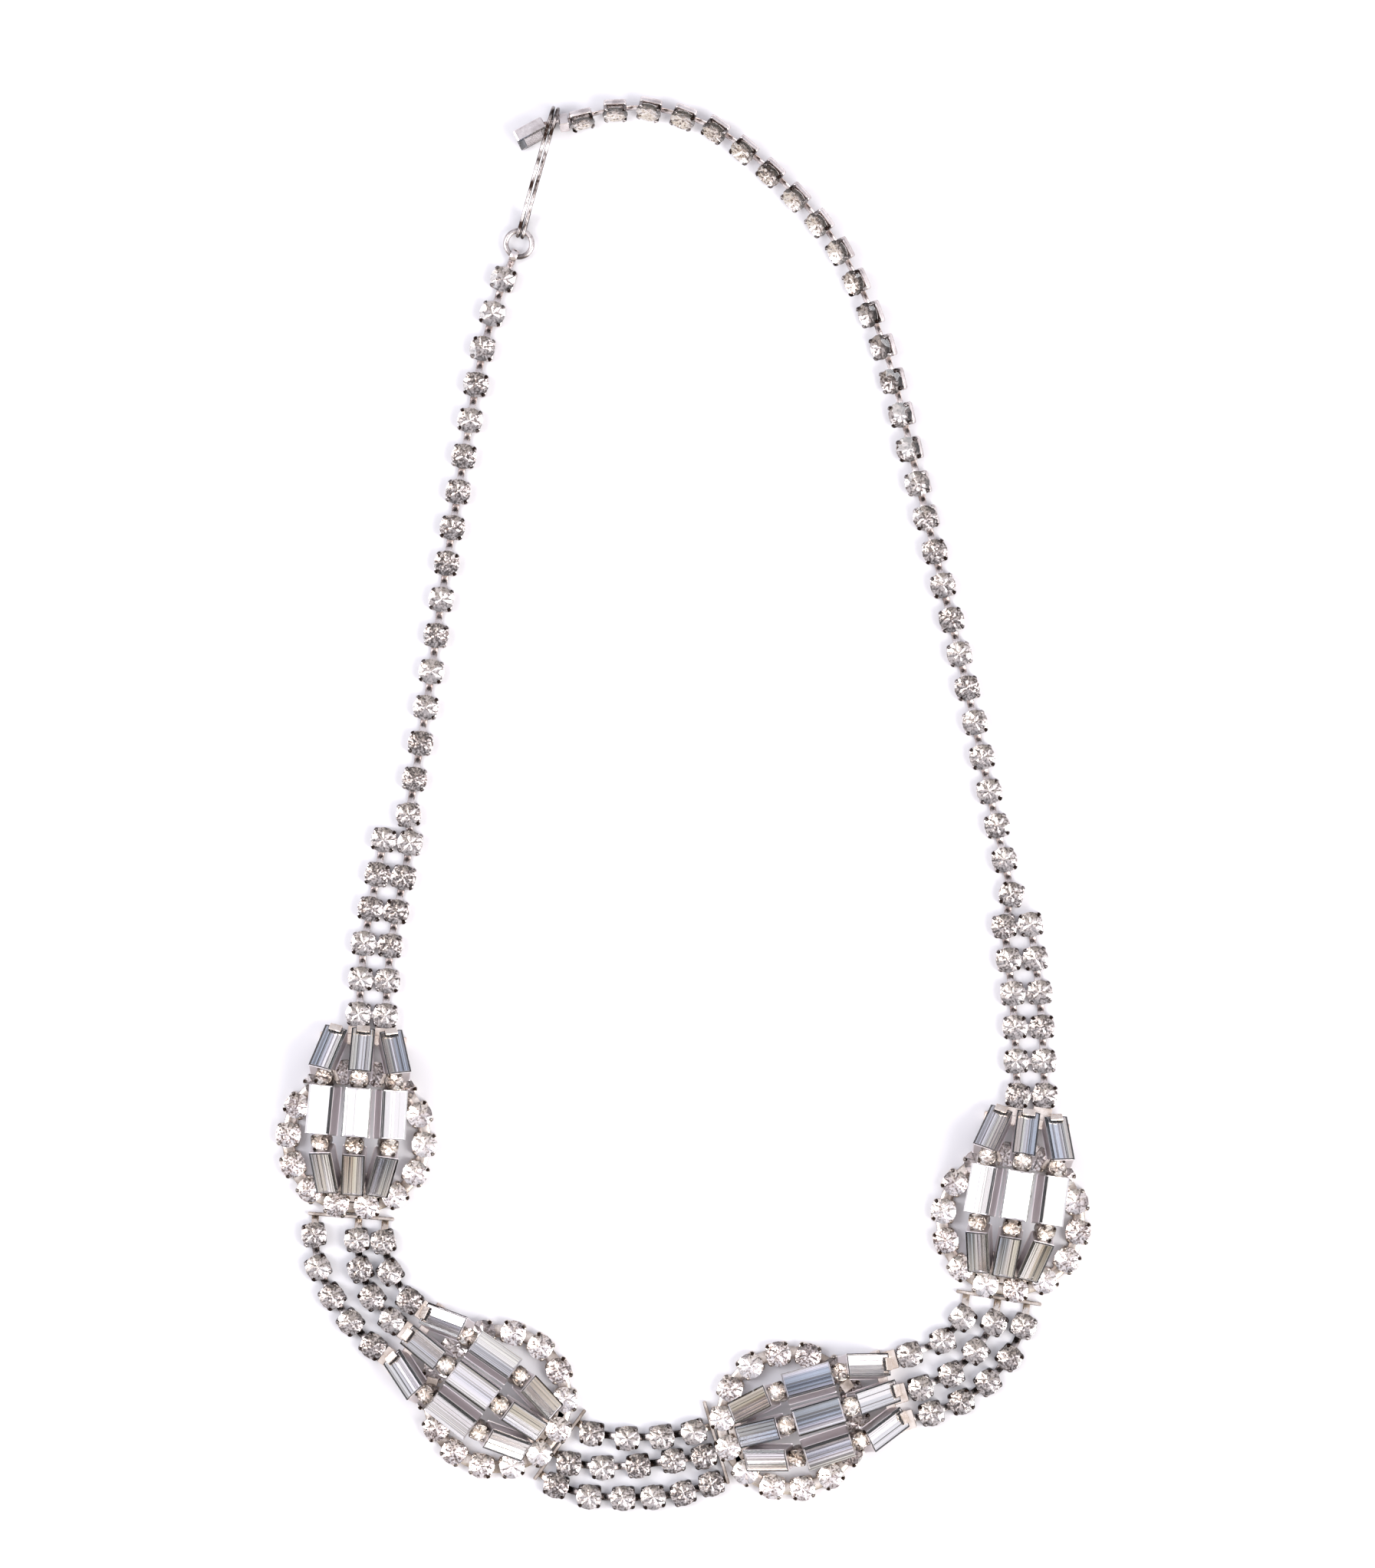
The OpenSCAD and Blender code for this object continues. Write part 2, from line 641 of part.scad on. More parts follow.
// One wire of the hook from its end at the ring to the tip, as distance along, height.
function hook_half() = concat(
  [[2.3, ring_middle[2] + 0.1]],
  [for (a = [-40:-33:-270]) [curl_r * cos(a), ring_middle[2] + curl_r * sin(a)]],
  [for (i = [1:3]) let(t = i / 4)
    [t * hook_run, (1 - t) * (ring_middle[2] + curl_r) + t * (bend_z + bend_r) + 0.25 * sin(180 * t)]],
  [for (a = [90:-30:-90]) [hook_run + bend_r * cos(a), bend_z + bend_r * sin(a)]],
  [[hook_run - hook_back, bend_z - bend_r]]
);
function hook_point(p, side) =
  [hook_foot[X], hook_foot[Y], 0] + p[0] * hook_way + [0, 0, p[1]] + side * hook_side;
module hook_clasp() {
  half = hook_half();
  tip = half[len(half) - 1];
  path = concat(
    [for (p = half) hook_point(p, -hook_gap / 2)],
    [for (a = [-60:60:60]) hook_point([tip[0] - hook_gap / 2 * cos(a), tip[1]], hook_gap / 2 * sin(a))],
    [for (i = [len(half) - 1:-1:0]) hook_point(half[i], hook_gap / 2)]
  );
  color(silver) wire(path, hook_wire / 2, hook_side);
}

// The assembly

hook_clasp();
clasp_ring();
ring_link();
tail_end();
left_back_chain();
right_back_chain();
left_double_row();
right_double_row();
left_strands();
centre_strands();
right_strands();
for (k = [1:4]) {
  dome_setting(k - 1);
  dome_halo_stones(k - 1);
  dome_round_stones(k - 1);
  for (i = [0:2], j = [0:2])
    dome_long_stone(k - 1, i - 1, j);
}
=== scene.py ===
"""Rhinestone choker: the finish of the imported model, as a Blender add-on layout that runs as a script.

The cups, links, settings and stones are worked out with numpy in millimetres, at the places that the solids
have, and put into meshes in metres.
"""
from dataclasses import dataclass

import bpy
import numpy as np
from bpy.props import FloatProperty, FloatVectorProperty, IntProperty, PointerProperty
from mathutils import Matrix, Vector


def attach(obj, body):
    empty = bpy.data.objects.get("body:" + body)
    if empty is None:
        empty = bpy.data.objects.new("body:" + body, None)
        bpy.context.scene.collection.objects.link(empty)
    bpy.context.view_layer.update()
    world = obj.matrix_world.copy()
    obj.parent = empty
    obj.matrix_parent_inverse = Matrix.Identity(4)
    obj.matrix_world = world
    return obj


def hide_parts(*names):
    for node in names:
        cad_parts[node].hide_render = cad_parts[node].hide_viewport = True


bl_info = {
    "name": "Rhinestone choker",
    "version": (1, 0, 0),
    "blender": (4, 5, 0),
    "location": "View3D > Sidebar > Choker",
    "description": "Dresses the choker's solids with cup chain, box settings, foiled stones and a clasp",
    "category": "Object",
}

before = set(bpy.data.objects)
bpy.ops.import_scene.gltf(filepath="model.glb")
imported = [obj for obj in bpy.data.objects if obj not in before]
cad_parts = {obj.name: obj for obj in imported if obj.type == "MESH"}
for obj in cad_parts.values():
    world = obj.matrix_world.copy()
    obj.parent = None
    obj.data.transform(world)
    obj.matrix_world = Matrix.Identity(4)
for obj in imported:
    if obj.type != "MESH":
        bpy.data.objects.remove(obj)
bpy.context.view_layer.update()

MM = 0.001
PHOTO_SIZE = (1793, 2044)
MM_PER_PIXEL = 0.0925
ORIGIN_PIXEL = (892, 1045)
SIDES = ("left", "middle", "right")
KINDS = ("neck", "belly", "lower")

# The routes, rows, strands and domes, in mm and degrees, as the solids have them.
LEFT_BACK = np.array([
    [-21.7, 62.9, 6], [-24.2, 54.6, 3], [-26.5, 41.7, 0], [-28.6, 28.7, 0], [-31.1, 11.3, 0], [-33.2, -1.6, 0],
])
RIGHT_BACK = np.array([
    [-12.4, 82.4, 66], [-8.8, 83.4, 58], [-4.9, 83.7, 54], [-0.8, 82.9, 52], [3.0, 81.6, 50], [6.6, 79.3, 48],
    [12.9, 73.7, 46], [18.4, 67.3, 46], [22.3, 59.7, 44], [25.1, 51.7, 34], [28.1, 39.1, 16],
    [31.1, 26.5, 0], [34.1, 13.9, 0], [36.8, 1.2, 0], [39.5, -11.2, 0],
])
LEFT_OUTER = np.array([[-36.2, -4.6, 0], [-37.4, -11.0, 0], [-38.6, -17.0, 0], [-39.2, -25.6, 0]])
LEFT_INNER = np.array([[-33.0, -5.0, 0], [-34.2, -11.2, 0], [-35.4, -17.2, 0], [-36.0, -25.8, 0]])
RIGHT_OUTER = np.array([[41.8, -14.8, 0], [42.9, -23.4, 0], [43.2, -27.6, 0], [43.5, -35.4, 0]])
RIGHT_INNER = np.array([[38.6, -15.0, 0], [39.6, -23.6, 0], [39.9, -27.8, 0], [40.2, -35.4, 0]])
BACK_CUPS = {"left": 16, "right": 29}
ROW_PAIRS = 6
STRANDS = {
    "left": [
        [[-44.6, -52.2], [-44.1, -56.1], [-42.4, -59.6], [-40.2, -62.7], [-37.5, -65.6]],
        [[-39.4, -52.8], [-39.0, -56.4], [-37.6, -59.7], [-35.2, -62.6]],
        [[-36.2, -53.0], [-35.4, -56.7], [-33.1, -60.1]],
    ],
    "centre": [
        [[-11.1, -76.1], [-6.9, -76.7], [-2.7, -76.5], [1.2, -75.9]],
        [[-13.9, -79.7], [-9.8, -80.2], [-5.5, -80.0], [-1.3, -79.4], [2.4, -78.9]],
        [[-15.4, -82.4], [-11.4, -83.7], [-7.3, -83.9], [-3.7, -83.8], [-0.1, -83.35], [3.3, -82.2]],
    ],
    "right": [
        [[33.6, -62.2], [31.2, -65.0], [27.2, -66.6]],
        [[37.4, -62.8], [35.2, -66.2], [32.2, -69.0], [28.5, -70.6]],
        [[40.9, -63.2], [39.2, -67.0], [36.6, -70.0], [33.4, -72.3], [29.8, -73.7]],
    ],
}
# Each dome: the ring's middle, the turn of its neck from straight up, and the first cup's place on the ring.
DOMES = np.array([[-39.5, -40.7, -4, 0], [-22.5, -72.0, 53.8, -3], [12.8, -74.6, -73.6, -6], [39.4, -50.6, -9, 0]])
# The settings along a rib: towards the neck, height, fall, out, drop, lean out, turn in.
RIB_PLACES = np.array([
    [10.9, 4.05, 34, 4.05, 0.15, 12, 10],
    [7.5, 6.05, 18, 4.3, 0.45, 20, 4],
    [3.5, 6.7, 3, 4.45, 0.8, 25, 0],
    [-0.5, 6.15, -24, 4.2, 0.7, 22, -5],
    [-4.1, 4.3, -34, 3.5, 0.4, 12, -5],
])
# Length and width of the neck, belly and lower stones.
LONG_STONES = ((5.6, 2.35), (5.5, 2.85), (5.5, 2.3))
# Where the steep steps of their backs are, as shares of the half width from the edge in.
LINES = ((0.6,), (), (0.6,))
# How grey and streaky the foil of each dome's neck, belly and lower stones is at their lower and upper ends: partly
# aged foil, partly painted light and shade, near white where a stone faces the bright lights and grey where it faces
# the darker walls.
STREAKS_AND_SHADE = (
    ((0.8, 0.7), (0.05, 0.05), (0.4, 0.95)),
    ((0.6, 0.4), (0.65, 0.5), (0.3, 0.6)),
    ((0.05, 0.05), (1.2, 0.9), (0.6, 0.9)),
    ((0.8, 0.7), (0.05, 0.05), (0.5, 0.95)),
)

# The links' height, a cup's reach to its claws, and the room under a leaning one.
LINK_Z = 0.375
CUP_REACH = 1.93 / np.sqrt(2)
SLOPE_ROOM = 0.04
# Stones that lean more than this, in degrees, have a brighter foil: painted light that stands for the lit table that
# they reflect.
BRIGHT_FROM_LEAN = 45
# A dome's ring of cups; its end bar, its collar and where strands end in that, all along its middle line.
HALO_R = 8.2
HALO_CUPS = 14
BAR_Y = -9.35
COLLAR_Y = 12.1
NECK_END_Y = 13.3
BAR_HALF = 5.2
ANCHOR_REACH = 2.6
# The boxes of the long stones, and how far a stone's edge reaches over its box.
BOX_H = 1.9
BOX_WALL = 0.18
STONE_GAP = 0.04
STONE_OVER = 0.22
# The clasp.
RING_MIDDLE = np.array([-19.9, 67.2, 0.9])
RING_R = 1.575
RING_WIRE_R = 0.325
HOOK_WIRE_R = 0.22
TAIL_FROM = np.array([-20.3, 79.9])
TAIL_TO = np.array([-16.9, 81.75])
TAIL_LEAN = 70
TAIL_HALF_W = 1.3


# Frames

def turn(axis, degrees):
    """A 4x4 turn about X, Y or Z."""
    a = np.radians(degrees)
    i, j = [(1, 2), (2, 0), (0, 1)]["XYZ".index(axis)]
    m = np.eye(4)
    m[i, i] = m[j, j] = np.cos(a)
    m[i, j], m[j, i] = -np.sin(a), np.sin(a)
    return m


def shift(x, y, z):
    """A 4x4 move."""
    m = np.eye(4)
    m[:3, 3] = x, y, z
    return m


def from_to(p, q, lean=0.0):
    """The frame at p with X towards q, leaning to the right by lean."""
    d = np.asarray(q[:3], float) - np.asarray(p[:3], float)
    pitch = np.degrees(np.arctan2(d[2], np.hypot(d[0], d[1])))
    return shift(*p[:3]) @ turn("Z", np.degrees(np.arctan2(d[1], d[0]))) @ turn("Y", -pitch) @ turn("X", lean)


def dome_frame(k):
    """The frame of dome k, at its ring's middle with Y towards its neck."""
    x, y, angle, _ = DOMES[k]
    return shift(x, y, 0) @ turn("Z", angle)


def rib_frame(i, side):
    """The frame of setting i of a rib in its dome: side is -1 left, 0 middle, 1 right."""
    at, up, fall, out, drop, over, toe = RIB_PLACES[i]
    return (shift(side * out, at, up - abs(side) * drop)
            @ turn("Z", side * toe) @ turn("Y", side * over) @ turn("X", -fall))


def rib_foot(i, side):
    """The middle of that setting's underside."""
    at, up, fall, out, drop, over, _ = RIB_PLACES[i]
    deep = 0.86 * BOX_H
    fall, over = np.radians(fall), np.radians(over)
    return np.array([side * (out - deep * np.sin(over)), at - deep * np.sin(fall),
                     up - abs(side) * drop - deep * np.cos(fall) * np.cos(over)])


def halo_frames(k):
    """The frames of dome k's ring of cups, X outwards."""
    angles = DOMES[k, 3] + np.arange(HALO_CUPS) * 360 / HALO_CUPS
    return [dome_frame(k) @ turn("Z", a) @ shift(HALO_R, 0, 0) for a in angles]


def moved(m, points):
    """Points carried by a 4x4 frame."""
    return np.asarray(points, float) @ m[:3, :3].T + m[:3, 3]


# Routes

def smooth_route(table, steps=10):
    """A curve through the rows of a table. Between two rows it is the cubic whose slope at each row is half
    the step between the row's neighbours."""
    rows = np.vstack([table[:1], table, table[-1:]])
    a, b, c, d = (rows[i:len(rows) - 3 + i, None, :] for i in range(4))
    t = (np.arange(steps) / steps)[None, :, None]
    bends = (2 * b + (c - a) * t + (2 * a - 5 * b + 4 * c - d) * t ** 2 + (3 * b - a - 3 * c + d) * t ** 3) / 2
    return np.vstack([bends.reshape(-1, table.shape[1]), table[-1:]])


def rest_height(lean):
    """The height at which a leaning cup rests on the lower edge of its base and claws."""
    a = np.radians(lean)
    return LINK_Z * np.cos(a) + CUP_REACH * np.abs(np.sin(a)) + np.where(lean == 0, 0, SLOPE_ROOM)


def spaced(table, count):
    """Cups at equal distances along a smooth route, each x, y, height of its link, lean."""
    curve = smooth_route(table)
    along = np.concatenate([[0], np.cumsum(np.linalg.norm(np.diff(curve[:, :2], axis=0), axis=1))])
    at = np.linspace(0, along[-1], count)
    x, y, lean = (np.interp(at, along, curve[:, i]) for i in range(3))
    return np.column_stack([x, y, rest_height(lean), lean])


def in_dome(k, p):
    """A point in dome k's own frame."""
    return moved(np.linalg.inv(dome_frame(k)), [[p[0], p[1], 0]])[0]


def on_bar(k, cup):
    """Where a strand leaves dome k's end bar for a cup."""
    x, y, z = moved(dome_frame(k), [[in_dome(k, cup)[0], BAR_Y + 0.1, LINK_Z]])[0]
    return np.array([x, y, z, 0])


def in_neck(k, cup):
    """Where a row or strand ends in dome k's collar."""
    q = in_dome(k, cup)
    x, y, z = moved(dome_frame(k), [[q[0], min(q[1] - ANCHOR_REACH, NECK_END_Y), LINK_Z]])[0]
    return np.array([x, y, z, 0])


def chain_places():
    """The places of every chain, row and strand: a list of columns for each node, where a column's first and
    last rows are what it starts from and ends in."""
    left, right = spaced(LEFT_BACK, BACK_CUPS["left"]), spaced(RIGHT_BACK, BACK_CUPS["right"])
    out = (left[0, :2] - RING_MIDDLE[:2]) / np.linalg.norm(left[0, :2] - RING_MIDDLE[:2])
    from_ring = [*(RING_MIDDLE[:2] + RING_R * out), LINK_Z, 0]
    from_tail = [TAIL_TO[0] - 0.5, TAIL_TO[1] - 0.2, tail_height(), TAIL_LEAN]
    places = {}
    for side, back, before, k, rows in (("left", left, from_ring, 0, (LEFT_OUTER, LEFT_INNER)),
                                        ("right", right, from_tail, 3, (RIGHT_OUTER, RIGHT_INNER))):
        outer, inner = (spaced(row, ROW_PAIRS) for row in rows)
        places[f"{side}_back_chain"] = [np.vstack([before, back, inner[:1]])]
        places[f"{side}_double_row"] = [np.vstack([outer[:1], outer, in_neck(k, outer[-1])]),
                                        np.vstack([back[-1:], inner, in_neck(k, inner[-1])])]
    for side, start, end_at, end in (("left", 0, in_neck, 1), ("centre", 1, on_bar, 2), ("right", 3, in_neck, 2)):
        places[f"{side}_strands"] = [
            np.vstack([on_bar(start, cups[0]), [[x, y, LINK_Z, 0] for x, y in cups], end_at(end, cups[-1])])
            for cups in STRANDS[side]]
    return places


def tail_height():
    """The height of the tail box's middle line, leaning on its edge."""
    a = np.radians(TAIL_LEAN)
    return LINK_Z * np.cos(a) + TAIL_HALF_W * np.sin(a) + SLOPE_ROOM


def cup_frames(columns):
    """The frame of every cup in a node's columns, base on its z = 0."""
    return [from_to(p, q, p[3]) @ shift(0, 0, -LINK_Z)
            for column in columns for p, q in zip(column[1:-1], column[2:])]


# Forms

@dataclass
class Form:
    """A surface in mm: its points, the corners of all its faces in one row, how many corners each face has, each face's
    material and whether it is smooth, and for each point how much it is darkened, partly by tarnish and partly by
    painted shade and painted dark reflection, and its stone's chance."""
    points: np.ndarray
    corners: np.ndarray
    counts: np.ndarray
    slots: np.ndarray
    smooth: np.ndarray
    tarnish: np.ndarray
    chance: np.ndarray


def lofted(rings, tarnish=0.0, smooth=True, slot=0, closed=False):
    """A closed skin over rings of points, each ring turning the same way round: quads between one ring and the
    next, and one flat face over each end, or from the last ring back to the first where it is closed."""
    rings = np.asarray(rings, float)
    m, n = rings.shape[:2]
    if closed:
        i, j = np.meshgrid(np.arange(m), np.arange(n), indexing="ij")
        up = (i + 1) % m
    else:
        i, j = np.meshgrid(np.arange(m - 1), np.arange(n), indexing="ij")
        up = i + 1
    k = (j + 1) % n
    quads = np.stack([i * n + j, i * n + k, up * n + k, up * n + j], axis=-1).reshape(-1, 4)
    corners, counts = quads.ravel(), np.full(len(quads), 4)
    soft = np.full(len(quads), smooth)
    if not closed:
        corners = np.concatenate([corners, np.arange(n)[::-1], (m - 1) * n + np.arange(n)])
        counts = np.concatenate([counts, [n, n]])
        soft = np.concatenate([soft, [False, False]])
    points = rings.reshape(-1, 3)
    return Form(points, corners, counts, np.full(len(counts), slot), soft,
                np.full(len(points), float(tarnish)), np.zeros(len(points)))


def joined(forms):
    """Several forms as one."""
    starts = np.cumsum([0] + [len(f.points) for f in forms[:-1]])
    return Form(np.vstack([f.points for f in forms]),
                np.concatenate([f.corners + s for f, s in zip(forms, starts)]),
                *(np.concatenate([getattr(f, name) for f in forms])
                  for name in ("counts", "slots", "smooth", "tarnish", "chance")))


def stamped(form, frames, chance=None):
    """A copy of a form in each of the frames, worked out in one product."""
    frames = np.asarray(frames)
    k, n = len(frames), len(form.points)
    points = np.einsum("kij,nj->kni", frames[:, :3, :3], form.points) + frames[:, None, :3, 3]
    corners = (form.corners[None, :] + n * np.arange(k)[:, None]).ravel()
    chance = form.chance if chance is None else np.asarray(chance)
    each = np.tile(chance, k) if len(chance) == n else np.repeat(chance, n)
    return Form(points.reshape(-1, 3), corners, np.tile(form.counts, k), np.tile(form.slots, k),
                np.tile(form.smooth, k), np.tile(form.tarnish, k), each)


def rounded_rectangle(w, h, r, per_corner=3):
    """Points round a rectangle w by h whose corners are quarter circles of radius r."""
    a = np.radians(np.linspace(0, 90, per_corner))[None, :] + np.radians(90 * np.arange(4))[:, None]
    middle = np.array([[w / 2 - r, h / 2 - r], [r - w / 2, h / 2 - r], [r - w / 2, r - h / 2], [w / 2 - r, r - h / 2]])
    return (middle[:, None, :] + r * np.stack([np.cos(a), np.sin(a)], axis=-1)).reshape(-1, 2)


def circle(sides):
    """Points round a circle of radius 1."""
    a = np.radians(np.arange(sides) * 360 / sides)
    return np.column_stack([np.cos(a), np.sin(a)])


def at_height(outline, z):
    """A flat outline at height z."""
    return np.column_stack([outline, np.full(len(outline), z)])


def stacked(*levels, **looks):
    """A skin over flat outlines, each at its height."""
    return lofted([at_height(outline, z) for outline, z in levels], **looks)


def softened_box(w, h, z0, z1, at=(0, 0), r=0.12, tarnish=0.0):
    """A box w by h from z0 to z1 with its middle at a place. Its corners are rounded by r, and its top and bottom
    edges have a small chamfer."""
    edge = 0.06
    small = rounded_rectangle(w - 2 * edge, h - 2 * edge, max(r - edge, 0.02)) + at
    full = rounded_rectangle(w, h, r) + at
    return stacked((small, z0), (full, z0 + edge), (full, z1 - edge), (small, z1), tarnish=tarnish, smooth=False)


def bar(p, q, w, t, tarnish=0.0):
    """A flat bar w wide and t thick from p to q, with rounded edges."""
    length = np.linalg.norm(np.asarray(q[:3]) - np.asarray(p[:3]))
    outline = rounded_rectangle(w, t, 0.45 * t)
    section = np.column_stack([np.zeros(len(outline)), outline])
    form = lofted([section * s + [x, 0, 0] for x, s in ((0, 0.9), (0.05, 1), (length - 0.05, 1), (length, 0.9))],
                  tarnish)
    form.points = moved(from_to(p, q), form.points)
    return form


def swept(path, radius, sides=10, tarnish=0.0, closed=False, first=(0, 0, 1)):
    """A round wire: a circle carried along a path, each circle square to the path and turned on from the one
    before it, so that the skin doesn't twist."""
    path = np.asarray(path, float)
    ways = np.roll(path, -1, 0) - np.roll(path, 1, 0) if closed else np.gradient(path, axis=0)
    ways /= np.linalg.norm(ways, axis=1, keepdims=True)
    across = [np.asarray(first, float)]
    for way in ways:
        v = across[-1] - (across[-1] @ way) * way
        across.append(v / np.linalg.norm(v))
    across = np.array(across[1:])
    up = np.cross(ways, across)
    a = np.radians(np.arange(sides) * 360 / sides)
    rings = path[:, None, :] + radius * (np.cos(a)[None, :, None] * across[:, None, :]
                                         + np.sin(a)[None, :, None] * up[:, None, :])
    return lofted(rings, tarnish, closed=closed)


# Stones

def round_stone(r, crown, girdle, depth, girdle_at):
    """A brilliant-cut stone about Z: a flat table of eight sides, eight kites and sixteen upper facets down to a
    thin girdle of sixteen sides, and the same below to a point. Crown faces are slot 0, the foiled back slot 1."""
    edge = r * circle(16)
    table, kite, low = 0.55 * edge[1::2], 0.80 * edge[0::2], 0.45 * edge[1::2]
    z = girdle_at
    sunk = z - girdle - (depth - girdle) * np.tile([0.3, 0.65], 4)
    points = np.vstack([
        at_height(table, z + crown), at_height(kite, z + 0.52 * crown), at_height(edge, z),
        at_height(edge, z - girdle), np.column_stack([low, sunk]), [[0, 0, z - depth]],
    ])
    T, K, E, G, L, C = 0, 8, 16, 32, 48, 56
    faces, slots = [list(range(T, T + 8))], [0]
    for i in range(8):
        j, e = (i - 1) % 8, 2 * i
        faces += [[T + j, K + i, T + i],
                  [K + i, E + e, E + e + 1, T + i], [K + i, T + j, E + (e - 1) % 16, E + e]]
        slots += [0, 0, 0]
    for e in range(16):
        faces.append([E + e, G + e, G + (e + 1) % 16, E + (e + 1) % 16])
        slots.append(1)
    for i in range(8):
        e = 2 * i + 1
        j = (i + 1) % 8
        faces += [[G + e - 1, L + i, G + e], [G + e, L + i, G + (e + 1) % 16], [G + (e + 1) % 16, L + i, C, L + j]]
        slots += [1, 1, 1]
    return faced(points, faces, slots)


def faced(points, faces, slots):
    """A form with flat faces, from points and each face's corners."""
    return Form(points, np.concatenate(faces), np.array([len(f) for f in faces]), np.array(slots),
                np.full(len(faces), False), np.zeros(len(points)), np.zeros(len(points)))


def long_stone(length, width, lines, streaks_and_shade):
    """A step-cut stone along Y whose edge rests on its box's rim: rectangles one above the other, two steps over the
    edge and, below it, shallow foiled steps with a narrow steep one after each of the lines, which are shares of the
    half width. The foiled back is slot 1. Its chance is the place across the stone in mm, and its darkening amount, the
    foil's greyness that is partly painted light and shade, runs between the two amounts of streaks from its lower end
    to its upper one."""
    length, width = length + 2 * STONE_OVER, width + 2 * STONE_OVER
    half = width / 2
    crown = [(0.34, 0.27), (0.0, 0.13)]
    back, inset, z = [(0.0, 0.06), (STONE_OVER, 0.03)], STONE_OVER, 0.03
    for share in lines:
        back.append((share * half, z - 0.16 * (share * half - inset)))
        back.append((share * half + 0.09, back[-1][1] - 0.08))
        inset, z = back[-1]
    back.append((half - 0.02, z - 0.16 * (half - inset)))
    steps = crown + back
    corner = np.array([[1, 1], [-1, 1], [-1, -1], [1, -1]])
    form = stacked(*((corner * [half - inset, length / 2 - 0.15 * inset], z) for inset, z in steps[::-1]),
                   smooth=False)
    quads = np.repeat([1] * len(back) + [0] * (len(crown) - 1), 4)
    form.slots = np.concatenate([quads, [1, 0]])
    form.chance = form.points[:, 0]
    form.tarnish = np.interp(form.points[:, 1], [-length / 2, length / 2], streaks_and_shade)
    return form


# Metal parts

def claw(foot, tarnish):
    """One claw at the +X side of a cup: a rounded section that stands up and bends in over the stone's edge."""
    stations = np.array([[1.50, foot, 0.28, 0.16], [1.62, 0.80, 0.27, 0.12], [1.67, 1.16, 0.26, 0.11],
                         [1.64, 1.40, 0.26, 0.13], [1.50, 1.55, 0.24, 0.12], [1.32, 1.52, 0.14, 0.06]])
    way = np.gradient(stations[:, :2], axis=0)
    way /= np.linalg.norm(way, axis=1, keepdims=True)
    a = np.radians(np.arange(6) * 60 + 30)
    across = stations[:, 2, None] * np.cos(a)
    out = stations[:, 3, None] * np.sin(a)
    rings = np.stack([stations[:, 0, None] - out * way[:, 1, None], across,
                      stations[:, 1, None] + out * way[:, 0, None]], axis=-1)
    return lofted(rings[:, ::-1], tarnish)


def cup(height=0.75, foot=0.08, inner=1.1, dirt_and_shade=0.3):
    """A square cup with a round hollow for its stone and four claws at its corners, the two at -X less darkened."""
    r, w = 0.3, 2.74
    full, small = rounded_rectangle(w, w, r), rounded_rectangle(w - 0.16, w - 0.16, r - 0.08)
    a = np.arctan2(full[:, 1], full[:, 0])
    round_edge = np.column_stack([np.cos(a), np.sin(a)])
    base = stacked((small, 0), (full, 0.08), (full, height - 0.06), (small, height), (round_edge * 1.2, height - 0.02),
                   (round_edge * 0.30, min(0.16, height / 3)), tarnish=dirt_and_shade)
    # The claws are darkened strongly: partly tarnish, partly a painted dark reflection of the room in their round tips.
    return joined([base] + [stamped(claw(foot, dark), [turn("Z", a), turn("Z", -a)])
                            for a, dark in ((45, 1.2), (135, inner))])


def link(p, q, start, dirt_and_shade=0.05):
    """A link's flat bar from a cup at p into the cup at q, with the cross-piece at its end."""
    length = np.linalg.norm(q[:3] - p[:3])
    stations = np.array([[start, 0.85], [length - 0.70, 0.85], [length - 0.63, 1.3], [length - 0.36, 1.3]])
    outline = rounded_rectangle(1, 0.2, 0.09, per_corner=2)
    form = lofted([np.column_stack([np.full(8, x), outline[:, 0] * w, outline[:, 1]]) for x, w in stations], dirt_and_shade)
    form.points = moved(from_to(p, q, p[3]), form.points)
    return form


def chain_metal(name, columns):
    """All the cups, links and solder bars of one node. The strands are darkened more, painted shade where their cups
    crowd together.
    """
    # Painted shade: the strands' cups and links are darkened far more than the rest.
    dirt_and_shade = 0.8 if name.endswith("strands") else 0.05
    forms = [stamped(cup(dirt_and_shade=0.3 + dirt_and_shade), cup_frames(columns))]
    for column in columns:
        last = len(column) - 3 if name == "centre_strands" else len(column) - 2
        forms += [link(column[i], column[i + 1], 1.0, dirt_and_shade) for i in range(1, last + 1)]
    if name.endswith("double_row"):
        for outer, inner in zip(columns[0][1:-1], columns[1][1:-1]):
            way = (inner[:3] - outer[:3]) / np.linalg.norm(inner[:3] - outer[:3])
            low = np.array([0, 0, -0.2])
            forms.append(bar(outer[:3] + 0.7 * way + low, inner[:3] - 0.7 * way + low, 0.9, 0.3, 0.4))
    return joined(forms)


def box_setting(size):
    """An open box under a long stone: its outside, wider at its foot, over its rim and down to its floor."""
    length, width = size
    l, w = length + 2 * (STONE_GAP + BOX_WALL), width + 2 * (STONE_GAP + BOX_WALL)
    outer = rounded_rectangle(w, l, 0.16)
    lip = rounded_rectangle(w - 0.14, l - 0.14, 0.12)
    hollow = rounded_rectangle(width + 2 * STONE_GAP, length + 2 * STONE_GAP, 0.03)
    foot = rounded_rectangle(w + 0.2, l, 0.12)
    return stacked((foot, -BOX_H), (outer, 0.06 - BOX_H), (outer, -0.03), (lip, 0.02), (hollow, 0.02),
                   (hollow, 0.3 - BOX_H), smooth=False, slot=1)


def end_tab(size):
    """A tab that rises at a box's outer end and folds over the stone there."""
    end = size[0] / 2 + 0.26
    return joined([softened_box(1.5, 0.18, -0.7, 0.46, (0, end + 0.1), 0.08),
                   softened_box(1.5, 0.9, 0.29, 0.5, (0, end - 0.26), 0.08)])


